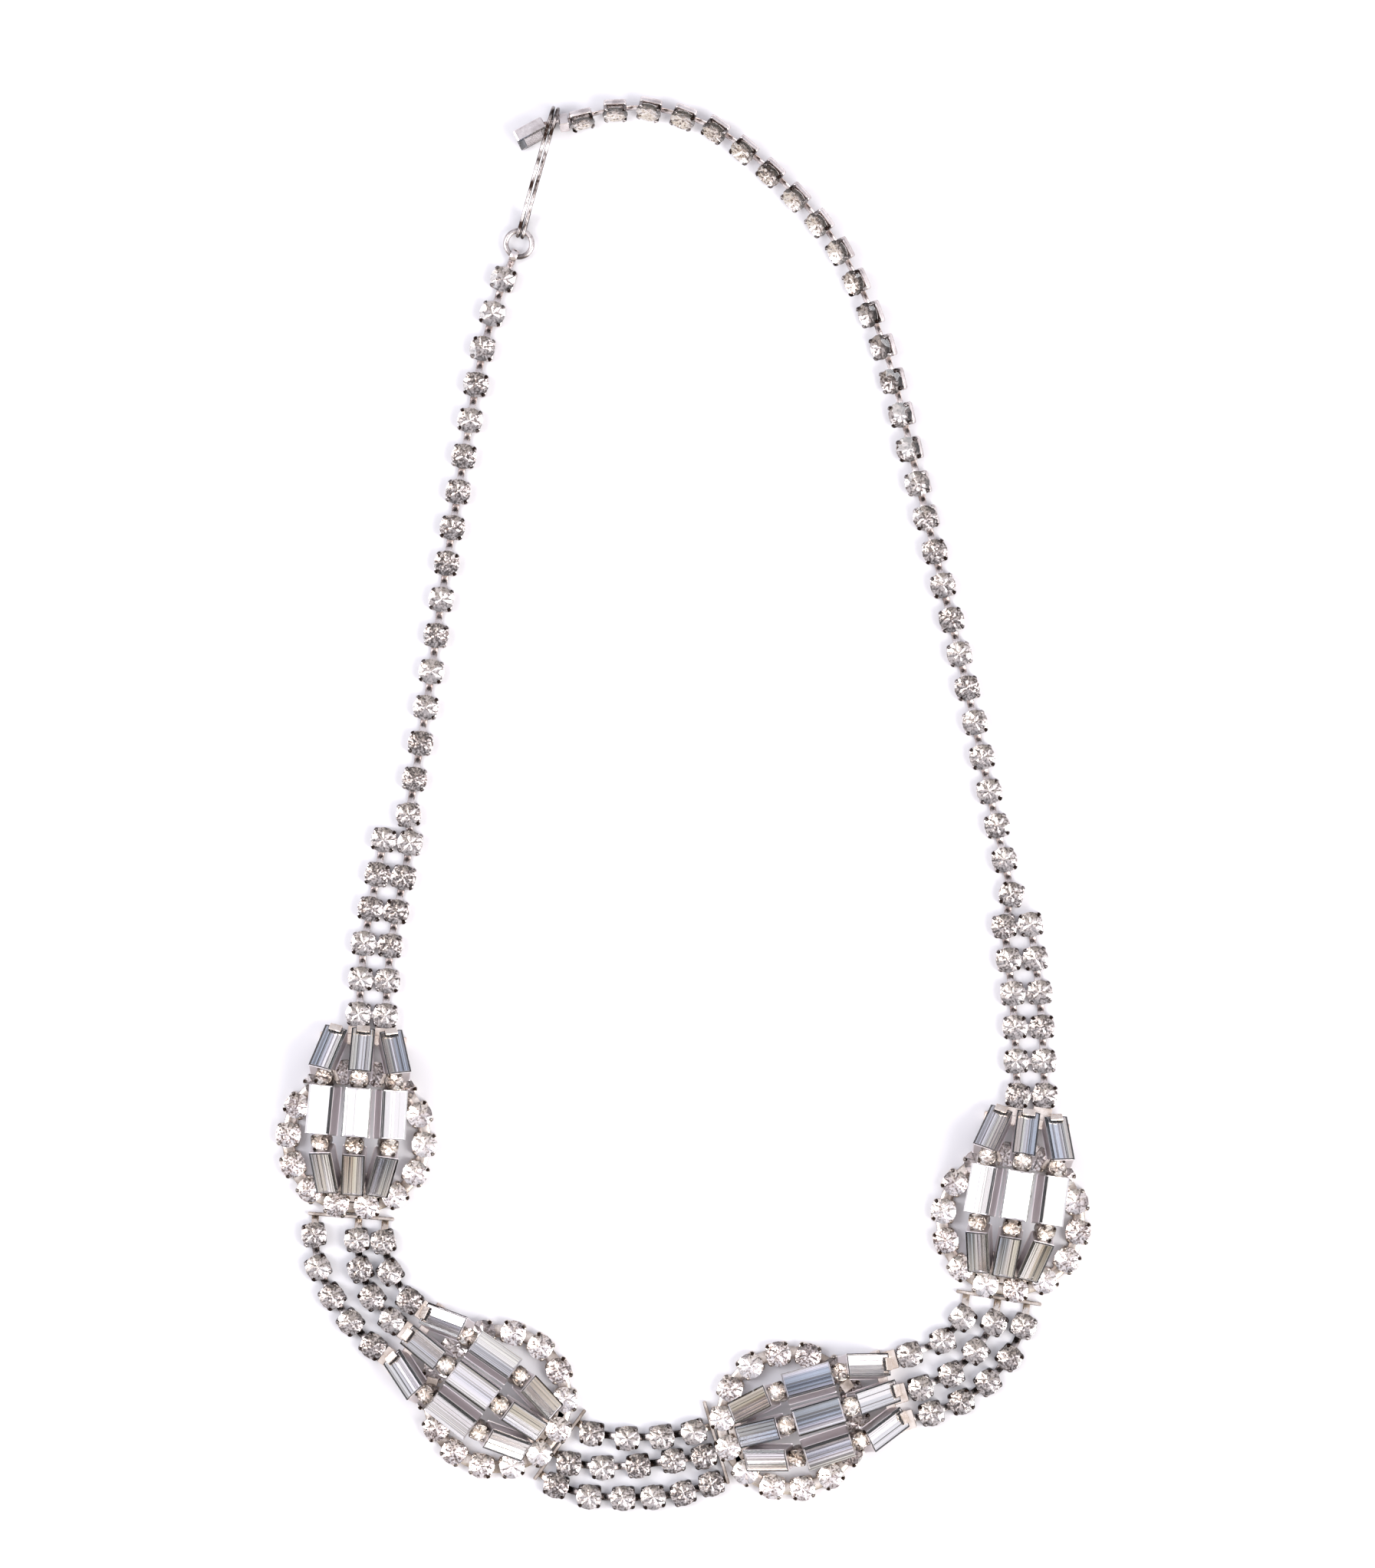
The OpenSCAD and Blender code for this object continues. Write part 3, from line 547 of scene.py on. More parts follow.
def collet():
    """A small collet with four grains over the stone's edge."""
    r = 1.07
    # Shell and grains are darkened strongly: partly tarnish, partly painted dark reflection in the grains and painted
    # shade between the boxes.
    shell = stacked(*(((r + wall) * circle(16), z) for wall, z in (
        (0.05, -1.5), (0.1, -1.4), (0.1, -0.05), (0.05, 0.05), (0, 0.03), (0, -1.15))), tarnish=0.8)
    bead = stacked(*((s * circle(6) + [r + x, 0], z) for x, z, s in (
        (0.05, -0.25, 0.2), (0.03, 0.1, 0.22), (-0.06, 0.34, 0.2), (-0.14, 0.44, 0.1))), tarnish=1.0)
    return joined([shell, stamped(bead, [turn("Z", 45 + 90 * i) for i in range(4)])])


def rib(side):
    """Three boxes and two collets in an arch on a bar, in their dome's frame."""
    forms = [stamped(box_setting(LONG_STONES[i]), [rib_frame(2 * i, side)]) for i in range(3)]
    forms += [stamped(end_tab(LONG_STONES[0]), [rib_frame(0, side)])]
    forms += [stamped(collet(), [rib_frame(i, side)]) for i in (1, 3)]
    # The bars under the boxes are darkened strongly: painted shade under the arch.
    forms += [bar(rib_foot(i, side), rib_foot(i + 1, side), 1.2, 0.4, 0.7) for i in range(4)]
    return joined(forms)


def hoop():
    """The flat hoop that carries the ring of cups: a rounded strip carried round a circle."""
    section = rounded_rectangle(1.5, 0.4, 0.08, per_corner=2) + [HALO_R, 0.2]
    rings = np.stack([np.column_stack([section[:, 0] * c, section[:, 0] * s, section[:, 1]]) for c, s in circle(96)])
    # Darkened strongly: painted shade under the ring of cups.
    return lofted(rings[:, ::-1], tarnish=0.7, closed=True)


def supports(first):
    """The stepped foot at the ribs' lower ends, and the two posts with pads under the upper collets."""
    turns = [turn("Z", 90 + first - side * 360 / HALO_CUPS) for side in (-1, 1)]
    # The foot and the posts are darkened: painted shade under the dome.
    return joined([softened_box(6.6, 1.9, 0, 1.4, (0, -4.85), tarnish=0.6),
                   softened_box(6.6, 3.8, 0, 0.4, (0, -5.8), tarnish=0.6),
                   stamped(softened_box(0.7, 0.7, 0.2, 3.8, (HALO_R, 0), tarnish=0.6), turns),
                   stamped(softened_box(1.4, 2.0, 3.6, 4.35, (HALO_R - 0.1, 0), tarnish=0.6), turns)])


def strand_links(k, places):
    """Where strands start at dome k's end bar, and where rows or strands end in its collar: pairs of places."""
    first, last = ({name: [(column[i], column[j]) for column in columns] for name, columns in places.items()}
                   for i, j in ((0, 1), (-1, -2)))
    starts = first["left_strands"], first["centre_strands"], last["centre_strands"], first["right_strands"]
    ends = last["left_double_row"], last["left_strands"], last["right_strands"], last["right_double_row"]
    return starts[k], ends[k]


def dome_metal(k, places):
    """Dome k's whole setting."""
    starts, ends = strand_links(k, places)
    frame_k = dome_frame(k)
    collar = softened_box(2 * BAR_HALF, 1.2, 0, 1.3, (0, COLLAR_Y), tarnish=0.1)
    end_bar = softened_box(2 * BAR_HALF, 0.4, 0, 0.8, (0, BAR_Y + 0.05), tarnish=0.6)
    own = joined([hoop(), supports(DOMES[k, 3]), collar, end_bar] + [rib(side) for side in (-1, 0, 1)])
    socket = softened_box(2.3, 2.3, -LINK_Z, 0.75 - LINK_Z, tarnish=0.2)
    return joined([stamped(own, [frame_k]), stamped(cup(0.8, 0.1, 0.7), halo_frames(k)),
                   stamped(socket, [from_to(p, q) for p, q in ends])] + [link(p, q, 0.0) for p, q in starts])


# The clasp

def clasp_ring():
    """A round wire bent into a ring: a circle carried round a circle."""
    # The wire is darkened almost all over: partly tarnish, partly painted shade that makes the thin wire read grey on
    # the white table.
    return swept(RING_MIDDLE + at_height(RING_R * circle(64), 0), RING_WIRE_R, sides=12, closed=True, tarnish=0.8)


def ring_link(places):
    """An eye round the ring's wire, a short wide tube, with a flat bar into the first cup."""
    column = places["left_back_chain"][0]
    rings = np.stack([np.insert(r * circle(32), 1, y, axis=1) for r, y in (
        (0.56, -0.45), (0.74, -0.45), (0.80, -0.38), (0.80, 0.38), (0.74, 0.45), (0.56, 0.45), (0.54, 0.42),
        (0.54, -0.42))])
    eye = lofted(np.swapaxes(rings, 0, 1), tarnish=0.2, closed=True)
    eye.points = moved(from_to(*column[:2]) @ shift(0, 0, RING_MIDDLE[2] - LINK_Z), eye.points)
    return joined([eye, link(*column[:2], 0.36)])


def tail_end(places):
    """The leaned box at the chain's end, the link from it and the short block past the hook; also the place of the
    box's stone and the box's length."""
    z = tail_height()
    length = np.linalg.norm(TAIL_TO - TAIL_FROM)
    outer = rounded_rectangle(length, 2 * TAIL_HALF_W, 0.25)
    lip = rounded_rectangle(length - 0.16, 2 * TAIL_HALF_W - 0.16, 0.2)
    hollow = rounded_rectangle(length - 0.3, 2 * TAIL_HALF_W - 0.3, 0.12)
    tray = stacked((lip, 0), (outer, 0.08), (outer, 1.44), (lip, 1.5), (hollow, 1.46), (hollow, 1.3), tarnish=0.15,
                   smooth=False)
    tray.points += [length / 2, 0, -LINK_Z]
    lean = from_to([*TAIL_FROM, z], [*TAIL_TO, z], TAIL_LEAN)
    tray.points = moved(lean, tray.points)
    column = places["right_back_chain"][0]
    block = softened_box(1.15, 2.3, -LINK_Z, 1.4 - LINK_Z, (2.925, 0), tarnish=0.1)
    block.points = moved(from_to(*column[:2], TAIL_LEAN), block.points)
    return joined([tray, link(*column[:2], 0.0), block]), lean @ shift(length / 2, 0, 1.05), length


def hook_path():
    """The hook's middle line: from an end at the ring, round the ring's wire, up along the hook, over the chain's
    end and back under it, across, and the same way back beside itself."""
    gap, over, bend_r, bend_z, back = 0.6, np.array([-15.85, 82.0]), 1.5, 1.8, 0.5
    curl = HOOK_WIRE_R + RING_WIRE_R + 0.17
    foot = RING_MIDDLE[:2] + RING_R * np.array([np.sin(np.radians(12)), np.cos(np.radians(12))])
    way = (over - foot) / np.linalg.norm(over - foot)
    side, run, z = np.array([-way[1], way[0]]), np.linalg.norm(over - foot), RING_MIDDLE[2]
    round_ring = np.radians(np.arange(-40, -271, -33))
    t = np.arange(1, 4) / 4
    round_chain = np.radians(np.arange(90, -91, -30))
    half = np.vstack([
        [[2.3, z + 0.1]],
        np.column_stack([curl * np.cos(round_ring), z + curl * np.sin(round_ring)]),
        np.column_stack([t * run, (1 - t) * (z + curl) + t * (bend_z + bend_r) + 0.25 * np.sin(np.pi * t)]),
        np.column_stack([run + bend_r * np.cos(round_chain), bend_z + bend_r * np.sin(round_chain)]),
        [[run - back, bend_z - bend_r]],
    ])
    tip = np.radians([-60, 0, 60])
    along = np.concatenate([half[:, 0], half[-1, 0] - gap / 2 * np.cos(tip), half[::-1, 0]])
    high = np.concatenate([half[:, 1], np.full(3, half[-1, 1]), half[::-1, 1]])
    aside = np.concatenate([np.full(len(half), -gap / 2), gap / 2 * np.sin(tip), np.full(len(half), gap / 2)])
    flat = foot + along[:, None] * way + aside[:, None] * side
    return smooth_route(np.column_stack([flat, high]), steps=5), side


def hook():
    """One round wire along the hook's path."""
    path, side = hook_path()
    # The wire is darkened all over: partly tarnish, partly painted shade that makes the thin wire read grey on the
    # white table.
    return swept(path, HOOK_WIRE_R, tarnish=1.0, first=(*side, 0))


# Meshes and materials

def make_piece(name, form, materials, slot, *nodes):
    """Puts a form into a mesh in metres and gives it its place in the model."""
    mesh = bpy.data.meshes.new(name)
    mesh.vertices.add(len(form.points))
    mesh.vertices.foreach_set("co", (form.points * MM).astype(np.float32).ravel())
    mesh.loops.add(len(form.corners))
    mesh.loops.foreach_set("vertex_index", form.corners.astype(np.int32))
    mesh.polygons.add(len(form.counts))
    mesh.polygons.foreach_set("loop_start", np.concatenate([[0], np.cumsum(form.counts)[:-1]]).astype(np.int32))
    mesh.polygons.foreach_set("material_index", form.slots.astype(np.int32))
    mesh.polygons.foreach_set("use_smooth", form.smooth)
    mesh.update(calc_edges=True)
    if mesh.validate():
        raise RuntimeError(f"{name}: the mesh had faults")
    for label in ("tarnish", "chance"):
        mesh.attributes.new(label, "FLOAT", "POINT").data.foreach_set(
            "value", getattr(form, label).astype(np.float32))
    for material in materials:
        mesh.materials.append(material)
    piece = bpy.data.objects.new(name, mesh)
    bpy.context.scene.collection.objects.link(piece)
    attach(piece, "root")
    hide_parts(*nodes)


def linear(colour):
    """An sRGB hex colour as linear values."""
    c = np.array([int(colour[i:i + 2], 16) for i in (1, 3, 5)]) / 255
    return tuple(np.where(c <= 0.04045, c / 12.92, ((c + 0.055) / 1.055) ** 2.4))


def node(tree, kind, inputs=None, **settings):
    """Adds a node, sets its properties, and sets or links its inputs by name or number."""
    made = tree.nodes.new(kind)
    for key, value in settings.items():
        setattr(made, key, value)
    for key, value in (inputs or {}).items():
        if isinstance(value, bpy.types.NodeSocket):
            tree.links.new(value, made.inputs[key])
        else:
            made.inputs[key].default_value = value
    return made


def ramp(tree, value, stops):
    """A colour ramp over a value, from pairs of position and linear colour or grey."""
    made = node(tree, "ShaderNodeValToRGB", {"Fac": value})
    elements = made.color_ramp.elements
    while len(elements) < len(stops):
        elements.new(1.0)
    for element, (position, colour) in zip(elements, stops):
        element.position = position
        element.color = (*([colour] * 3 if isinstance(colour, float) else colour), 1)
    return made.outputs["Color"]


def mixed(tree, share, a, b, **settings):
    """Colour b over colour a by a share."""
    return node(tree, "ShaderNodeMix", {"Factor": share, 6: a, 7: b}, data_type="RGBA", **settings).outputs[2]


def attribute(tree, name):
    """A value that make_piece gave the mesh."""
    return node(tree, "ShaderNodeAttribute", attribute_name=name).outputs["Fac"]


def principled(tree, inputs):
    """Ends a material in a Principled shader with these inputs."""
    shader = node(tree, "ShaderNodeBsdfPrincipled", inputs)
    node(tree, "ShaderNodeOutputMaterial", {"Surface": shader.outputs[0]})


def new_material(name):
    """An empty material and its tree."""
    material = bpy.data.materials.new(name)
    material.use_nodes = True
    material.node_tree.nodes.clear()
    return material, material.node_tree


def grain(tree, size_mm, detail=3.0):
    """Noise whose lumps are about size_mm across, on object coordinates in metres."""
    place = node(tree, "ShaderNodeTexCoord").outputs["Object"]
    return node(tree, "ShaderNodeTexNoise", {"Vector": place, "Scale": 1000 / size_mm, "Detail": detail}).outputs["Fac"]


def plated_metal(name, clean, dull, dark, roughness):
    """Rhodium-plated brass, cast and tumbled: a bright grey mirror, clouded in patches of 1.5 mm, with fine dirt of
    0.25 mm, and darkened where each point's darkening amount is high: partly tarnish, partly painted dark reflection on
    the claws and grains and painted shade on the parts under the settings and on the crowded strands."""
    material, tree = new_material(name)
    cloud, dirt_and_shade = grain(tree, 1.5), grain(tree, 0.25, 2.0)
    amount = node(tree, "ShaderNodeMath", {0: attribute(tree, "tarnish"), 1: cloud}, operation="MULTIPLY").outputs[0]
    patches = ramp(tree, cloud, [(0.35, linear(clean)), (0.62, linear(dull))])
    colour = mixed(tree, ramp(tree, amount, [(0.18, 0.0), (0.62, 1.0)]), patches, (*linear(dark), 1))
    rough = node(tree, "ShaderNodeMapRange", {"Value": dirt_and_shade, "From Min": 0.3, "From Max": 0.7,
                                              "To Min": roughness, "To Max": roughness + 0.16}).outputs[0]
    bump = node(tree, "ShaderNodeBump", {"Height": dirt_and_shade, "Strength": 0.25, "Distance": 0.02 * MM}).outputs[0]
    principled(tree, {"Base Color": colour, "Metallic": 1.0, "Roughness": rough, "Normal": bump})
    return material


def satin_metal(name, colour):
    """The same plate on pressed sheet, left satin: an even grey that shows no reflections, only soft shading."""
    material, tree = new_material(name)
    principled(tree, {"Base Color": (*linear(colour), 1), "Metallic": 1.0, "Roughness": 0.42})
    return material


def cut_glass(name, tint):
    """Lead glass, cut and polished: clear, with a high index that gives a bright table."""
    material, tree = new_material(name)
    principled(tree, {"Base Color": (*linear(tint), 1), "Roughness": 0.0, "IOR": 1.6, "Transmission Weight": 1.0})
    return material


def mirror_foil(name, bright, warm, dark, size_mm, stops):
    """The silver foil behind a stone, aged in places: a dull mirror in cloudy patches of size_mm, from dark over
    warm to bright at the stops of its noise, a little lighter or darker from stone to stone."""
    material, tree = new_material(name)
    age = node(tree, "ShaderNodeMix", {"Factor": 0.12, "A": grain(tree, size_mm), "B": attribute(tree, "chance")})
    colour = ramp(tree, age.outputs[0], list(zip(stops, map(linear, (dark, warm, bright)))))
    principled(tree, {"Base Color": colour, "Metallic": 1.0, "Roughness": 0.22})
    return material


def streaked_foil(name):
    """The silver foil behind a long stone: a mirror with soft streaks about 0.4 mm wide and a few thin lines along the
    stone, in a tone that differs from stone to stone where its darkening amount is high, white where it's low. The
    white and grey are partly painted light and shade for how each stone faces the lights, and past 1 the foil is darker
    still."""
    material, tree = new_material(name)
    across, amount = attribute(tree, "chance"), attribute(tree, "tarnish")
    tone, streak, hair = (node(tree, "ShaderNodeTexNoise", {"W": across, "Scale": scale, "Detail": detail},
                               noise_dimensions="1D").outputs["Fac"]
                          for scale, detail in ((0.3, 0.0), (2.2, 1.0), (1.1, 0.0)))
    tones = ramp(tree, tone, [(0.36, linear("#b9c3d2")), (0.44, linear("#f0edf6")), (0.52, linear("#fbf8f5")),
                              (0.60, linear("#e6e4d6")), (0.68, linear("#d6c8bd"))])
    bands = ramp(tree, streak, [(0.36, linear("#5d585b")), (0.43, linear("#d5d1d5")), (0.47, linear("#ffffff")),
                                (0.56, linear("#f4f2f0")), (0.62, linear("#8b817b"))])
    toned = mixed(tree, 0.8, tones, bands, blend_type="MULTIPLY")
    # Painted dark reflection: past 1 the foil is darkened further for stones that face the dark part of the room.
    depth = node(tree, "ShaderNodeMapRange", {"Value": amount, "From Min": 1.0, "From Max": 1.5, "To Min": 1.0,
                                              "To Max": 0.4}).outputs[0]
    toned = mixed(tree, 1.0, toned, depth, blend_type="MULTIPLY")
    colour = mixed(tree, ramp(tree, amount, [(0.1, 0.0), (0.9, 1.0)]), (*linear("#f2efed"), 1), toned)
    thin = ramp(tree, hair, [(0.485, linear("#ffffff")), (0.5, linear("#a8a29f")), (0.515, linear("#ffffff"))])
    colour = mixed(tree, 1.0, colour, thin, blend_type="MULTIPLY")
    principled(tree, {"Base Color": colour, "Metallic": 1.0, "Roughness": 0.1})
    return material


# What a user would change

def colour_property(name, description, colour):
    """A colour on the panel, from its sRGB hex."""
    return FloatVectorProperty(name=name, description=description, subtype="COLOR", default=linear(colour),
                               min=0, max=1)


class ChokerColours(bpy.types.PropertyGroup):
    """Colours of the floor and the light."""
    floor: colour_property("Table", "Colour of the white table", "#dad9dc")
    world: colour_property("Room", "Colour of the light from all round", "#e7e5eb")
    far_wall: colour_property("Far wall", "Colour of the wall beyond the clasp", "#cccdd6")
    near_wall: colour_property("Near wall", "Colour of the wall on the strands' side", "#cfc8c0")
    left_wall: colour_property("Left wall", "Share of that light that the left wall gives back", "#cec8c4")


class ChokerLight(bpy.types.PropertyGroup):
    """Strength and place of the lights."""
    room: FloatProperty(name="Room light", description="Strength of the light from all round", default=1.4, min=0)
    key: FloatProperty(name="Key", description="Power of the large light at the lower right", default=7.5,
                       min=0, unit="POWER")
    fill: FloatProperty(name="Fill", description="Power of the large light at the left", default=6.5,
                        min=0, unit="POWER")
    camera_height: FloatProperty(name="Camera height", description="Height of the camera over the table",
                                 default=1.0, min=0.2, unit="LENGTH")


class ChokerStones(bpy.types.PropertyGroup):
    """How the stones sit."""
    seed: IntProperty(name="Seed", description="Chooses how each stone is turned and tipped", default=4)
    spin: FloatProperty(name="Spin", description="Most that a round stone is turned from square",
                        default=np.radians(22.0), subtype="ANGLE")
    tip: FloatProperty(name="Tip", description="Most that a round stone leans in its cup",
                       default=np.radians(3.0), subtype="ANGLE")


def stone_frames(frames, settings, salt):
    """The stones' frames, each spun and tipped a little by seeded chance, and one chance value for each."""
    chance = np.random.default_rng(settings.seed * 100 + salt)
    spin = np.degrees(settings.spin) * chance.uniform(-1, 1, len(frames))
    tip = np.degrees(settings.tip) * chance.normal(0, 0.5, (len(frames), 2)).clip(-1, 1)
    turned = [f @ turn("Z", s) @ turn("X", a) @ turn("Y", b) for f, s, (a, b) in zip(frames, spin, tip)]
    return turned, chance.uniform(0, 1, len(frames))


# Each material's maker and what it is given.
FINISHES = {
    "rhodium_plated_brass": (plated_metal, "#e8e0de", "#c4bab8", "#241a16", 0.16),
    "pale_rhodium_plate": (plated_metal, "#efe6de", "#d0c1b4", "#2a1f19", 0.16),
    "satin_rhodium_plate": (satin_metal, "#d6d0d2"),
    "cut_lead_glass": (cut_glass, "#fbfcfd"),
    "silver_foil": (mirror_foil, "#f0e9e7", "#cfc0ba", "#6f5d57", 0.25, (0.37, 0.44, 0.52)),
    "dull_silver_foil": (mirror_foil, "#c2bab6", "#8f837e", "#3e312c", 0.25, (0.37, 0.44, 0.53)),
    "clean_silver_foil": (mirror_foil, "#f6f0ec", "#dccdc1", "#66574f", 0.3, (0.37, 0.45, 0.54)),
    "aged_tan_foil": (mirror_foil, "#fbf2ea", "#c9b5a6", "#5a4a42", 0.3, (0.36, 0.43, 0.52)),
    "streaked_silver_foil": (streaked_foil,),
}


def finishes(*names):
    """The materials of these names, each made once."""
    return [bpy.data.materials.get(name) or FINISHES[name][0](name, *FINISHES[name][1:]) for name in names]


# Operators

class CHOKER_OT_chain_metal(bpy.types.Operator):
    """Cups, links and solder bars of the chains, rows and strands"""
    bl_idname = "choker.chain_metal"
    bl_label = "Cup chain"

    def execute(self, context):
        for name, columns in chain_places().items():
            make_piece(f"{name}_metal", chain_metal(name, columns), finishes("rhodium_plated_brass"),
                       "rhodium_plated_metal", name)
        return {"FINISHED"}


class CHOKER_OT_chain_stones(bpy.types.Operator):
    """Round stones of the chains, rows and strands"""
    bl_idname = "choker.chain_stones"
    bl_label = "Chain stones"

    def execute(self, context):
        stone = round_stone(r=1.55, crown=0.15, girdle=0.06, depth=0.27, girdle_at=1.24)
        for salt, (name, columns) in enumerate(chain_places().items()):
            frames, chance = stone_frames(cup_frames(columns), context.scene.choker_stones, salt)
            form = stamped(stone, frames, chance)
            looks = finishes("cut_lead_glass", "dull_silver_foil")
            # Painted light: the leaning stones get the brighter foil.
            leaning = np.concatenate([column[1:-1, 3] for column in columns]) > BRIGHT_FROM_LEAN
            if leaning.any():
                form.slots.reshape(len(leaning), -1)[leaning] *= 2
                looks += finishes("clean_silver_foil")
            make_piece(f"{name}_stones", form, looks, "foiled_crystal", name)
        return {"FINISHED"}


class CHOKER_OT_dome_settings(bpy.types.Operator):
    """Rings of cups, box settings, collets and bars of the four domes"""
    bl_idname = "choker.dome_settings"
    bl_label = "Dome settings"

    def execute(self, context):
        places = chain_places()
        looks = finishes("pale_rhodium_plate", "satin_rhodium_plate")
        for k in range(4):
            make_piece(f"dome_{k + 1}_metal", dome_metal(k, places), looks, "pale_rhodium_metal",
                       f"dome_{k + 1}_setting")
        return {"FINISHED"}


class CHOKER_OT_halo_stones(bpy.types.Operator):
    """Round stones of the rings of cups"""
    bl_idname = "choker.halo_stones"
    bl_label = "Halo stones"

    def execute(self, context):
        stone = round_stone(r=1.55, crown=0.15, girdle=0.06, depth=0.27, girdle_at=1.2)
        for k in range(4):
            frames, chance = stone_frames(halo_frames(k), context.scene.choker_stones, salt=20 + k)
            make_piece(f"dome_{k + 1}_ring_stones", stamped(stone, frames, chance),
                       finishes("cut_lead_glass", "silver_foil"), "foiled_crystal", f"dome_{k + 1}_halo_stones")
        return {"FINISHED"}


class CHOKER_OT_round_stones(bpy.types.Operator):
    """Small round stones between the long ones"""
    bl_idname = "choker.round_stones"
    bl_label = "Small round stones"

    def execute(self, context):
        stone = round_stone(r=1.08, crown=0.18, girdle=0.05, depth=0.28, girdle_at=0.08)
        for k in range(4):
            places = [dome_frame(k) @ rib_frame(i, side) for side in (-1, 0, 1) for i in (1, 3)]
            frames, chance = stone_frames(places, context.scene.choker_stones, salt=30 + k)
            make_piece(f"dome_{k + 1}_small_stones", stamped(stone, frames, chance),
                       finishes("cut_lead_glass", "aged_tan_foil"), "foiled_crystal", f"dome_{k + 1}_round_stones")
        return {"FINISHED"}


class CHOKER_OT_long_stones(bpy.types.Operator):
    """Long step-cut stones of the domes"""
    bl_idname = "choker.long_stones"
    bl_label = "Long stones"

    def execute(self, context):
        chance = np.random.default_rng(context.scene.choker_stones.seed + 7)
        for k in range(4):
            for i, side in enumerate(SIDES):
                for j, kind in enumerate(KINDS):
                    place = dome_frame(k) @ rib_frame(2 * j, i - 1)
                    cut = long_stone(*LONG_STONES[j], LINES[j], STREAKS_AND_SHADE[k][j])
                    form = stamped(cut, [place], cut.chance + 100 * chance.uniform(0, 1))
                    name = f"dome_{k + 1}_{side}_{kind}"
                    make_piece(f"{name}_cut", form, finishes("cut_lead_glass", "streaked_silver_foil"),
                               "foiled_crystal", f"{name}_stone")
        return {"FINISHED"}


class CHOKER_OT_clasp(bpy.types.Operator):
    """Hook, ring, the ring's link and the chain's tail"""
    bl_idname = "choker.clasp"
    bl_label = "Clasp"

    def execute(self, context):
        places = chain_places()
        tail, stone_place, length = tail_end(places)
        for name, form, node_name in (("hook_wire", hook(), "hook_clasp"),
                                      ("clasp_ring_wire", clasp_ring(), "clasp_ring"),
                                      ("ring_link_eye", ring_link(places), "ring_link"),
                                      ("tail_tray", tail, "tail_end")):
            make_piece(name, form, finishes("rhodium_plated_brass"), "rhodium_plated_metal", node_name)
        cut = long_stone(2 * TAIL_HALF_W - 0.34, length - 0.34, lines=(0.4, 0.75), streaks_and_shade=(1.3, 1.3))
        stone = stamped(cut, [stone_place])
        make_piece("tail_stone", stone, finishes("cut_lead_glass", "streaked_silver_foil"), "foiled_crystal",
                   "tail_end")
        return {"FINISHED"}


def area_light(name, place, size, power, colour):
    """A rectangular light at a place, facing the table's middle, that no view sees."""
    data = bpy.data.lights.new(name, "AREA")
    data.shape = "RECTANGLE"
    data.size, data.size_y = size
    data.energy = power
    data.color = linear(colour)
    lamp = bpy.data.objects.new(name, data)
    lamp.location = place
    lamp.rotation_euler = (-Vector(place)).to_track_quat("-Z", "Y").to_euler()
    lamp.visible_camera = False
    bpy.context.scene.collection.objects.link(lamp)


def table_top(colour):
    """A white board, 3 m square, on the plane that the choker lies on."""
    board, tree = new_material("white_board")
    principled(tree, {"Base Color": (*colour, 1), "Roughness": 0.9, "Specular IOR Level": 0.1})
    mesh = bpy.data.meshes.new("table_top")
    mesh.from_pydata([(-1.5, -1.5, 0), (1.5, -1.5, 0), (1.5, 1.5, 0), (-1.5, 1.5, 0)], [], [(0, 1, 2, 3)])
    mesh.materials.append(board)
    table = bpy.data.objects.new("table_top", mesh)
    bpy.context.scene.collection.objects.link(table)


def white_room(strength, bright, slate, beige, left):
    """The light from all round: bright walls, slate beyond the clasp, beige opposite it and darker at the left."""
    world = bpy.data.worlds.new("room")
    world.use_nodes = True
    tree = world.node_tree
    way = node(tree, "ShaderNodeSeparateXYZ", {0: node(tree, "ShaderNodeTexCoord").outputs["Generated"]})
    from_left, from_near = (node(tree, "ShaderNodeMapRange", {"Value": way.outputs[axis], "From Min": -1.0}).outputs[0]
                            for axis in "XY")
    across = ramp(tree, from_left, [(0.1, left), (0.2, linear("#ffffff"))])
    along = ramp(tree, from_near, [(0.10, beige), (0.20, beige), (0.30, bright), (0.70, bright), (0.80, slate)])
    back = tree.nodes["Background"]
    tree.links.new(mixed(tree, 1.0, across, along, blend_type="MULTIPLY"), back.inputs["Color"])
    back.inputs["Strength"].default_value = strength
    bpy.context.scene.world = world


def camera_above(height):
    """A camera straight above the middle of the photograph, which frames as much of the table as that shows."""
    pixel = MM_PER_PIXEL * MM
    camera = bpy.data.cameras.new("camera")
    camera.sensor_fit = "VERTICAL"
    camera.sensor_height = 24
    camera.lens = camera.sensor_height * height / (PHOTO_SIZE[1] * pixel)
    camera.clip_start, camera.clip_end = 0.01, 10
    eye = bpy.data.objects.new("camera", camera)
    eye.location = ((PHOTO_SIZE[0] / 2 - ORIGIN_PIXEL[0]) * pixel, (ORIGIN_PIXEL[1] - PHOTO_SIZE[1] / 2) * pixel,
                    height)
    bpy.context.scene.collection.objects.link(eye)
    bpy.context.scene.camera = eye


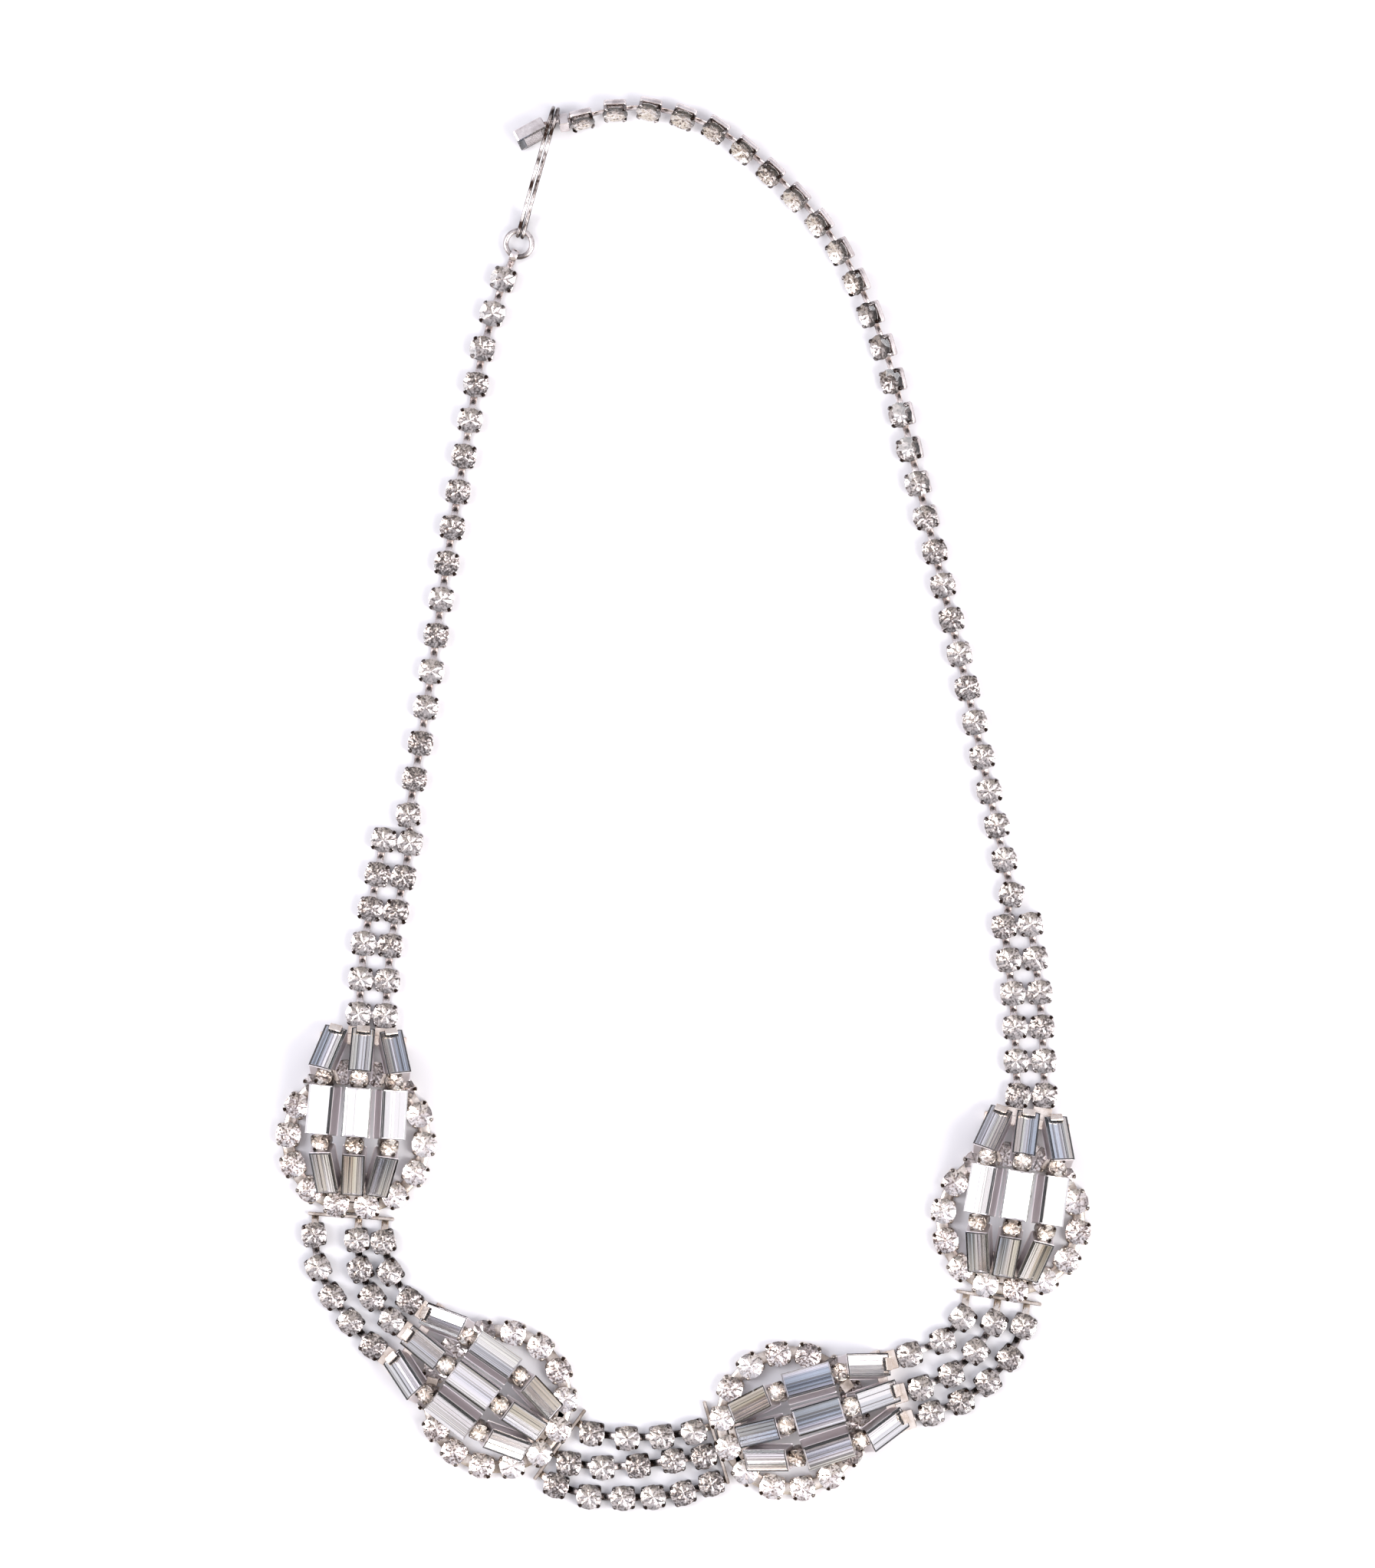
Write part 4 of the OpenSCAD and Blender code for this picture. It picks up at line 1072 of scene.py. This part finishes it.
class CHOKER_OT_stage(bpy.types.Operator):
    """White table, studio light and a camera straight above"""
    bl_idname = "choker.stage"
    bl_label = "Stage"

    def execute(self, context):
        light, colours = context.scene.choker_light, context.scene.choker_colours
        table_top(colours.floor)
        white_room(light.room, colours.world, colours.far_wall, colours.near_wall, colours.left_wall)
        area_light("key_light", (0.6, -0.3, 0.6), (0.5, 0.6), light.key, "#fffdfa")
        area_light("fill_light", (-0.7, 0.1, 0.6), (0.5, 0.7), light.fill, "#f7f9ff")
        camera_above(light.camera_height)
        context.scene.view_settings.view_transform = "Standard"
        return {"FINISHED"}


class CHOKER_PT_panel(bpy.types.Panel):
    """Sizes, colours and makers of the choker"""
    bl_idname = "CHOKER_PT_panel"
    bl_label = "Choker"
    bl_space_type = "VIEW_3D"
    bl_region_type = "UI"
    bl_category = "Choker"

    def draw(self, context):
        layout = self.layout
        for group in (context.scene.choker_colours, context.scene.choker_light, context.scene.choker_stones):
            for name in group.__annotations__:
                layout.prop(group, name)
        for maker in MAKERS:
            layout.operator(maker.bl_idname)


GROUPS = {"choker_colours": ChokerColours, "choker_light": ChokerLight, "choker_stones": ChokerStones}
MAKERS = (CHOKER_OT_chain_metal, CHOKER_OT_chain_stones, CHOKER_OT_dome_settings, CHOKER_OT_halo_stones,
          CHOKER_OT_round_stones, CHOKER_OT_long_stones, CHOKER_OT_clasp, CHOKER_OT_stage)


def register():
    for group in GROUPS.values():
        bpy.utils.register_class(group)
    for name, group in GROUPS.items():
        setattr(bpy.types.Scene, name, PointerProperty(type=group))
    for maker in (*MAKERS, CHOKER_PT_panel):
        bpy.utils.register_class(maker)


def unregister():
    for maker in (CHOKER_PT_panel, *MAKERS[::-1]):
        bpy.utils.unregister_class(maker)
    for name in GROUPS:
        delattr(bpy.types.Scene, name)
    for group in GROUPS.values():
        bpy.utils.unregister_class(group)


def main():
    register()
    for make in (bpy.ops.choker.chain_metal, bpy.ops.choker.chain_stones, bpy.ops.choker.dome_settings,
                 bpy.ops.choker.halo_stones, bpy.ops.choker.round_stones, bpy.ops.choker.long_stones,
                 bpy.ops.choker.clasp, bpy.ops.choker.stage):
        make()


if __name__ == "__main__":
    main()
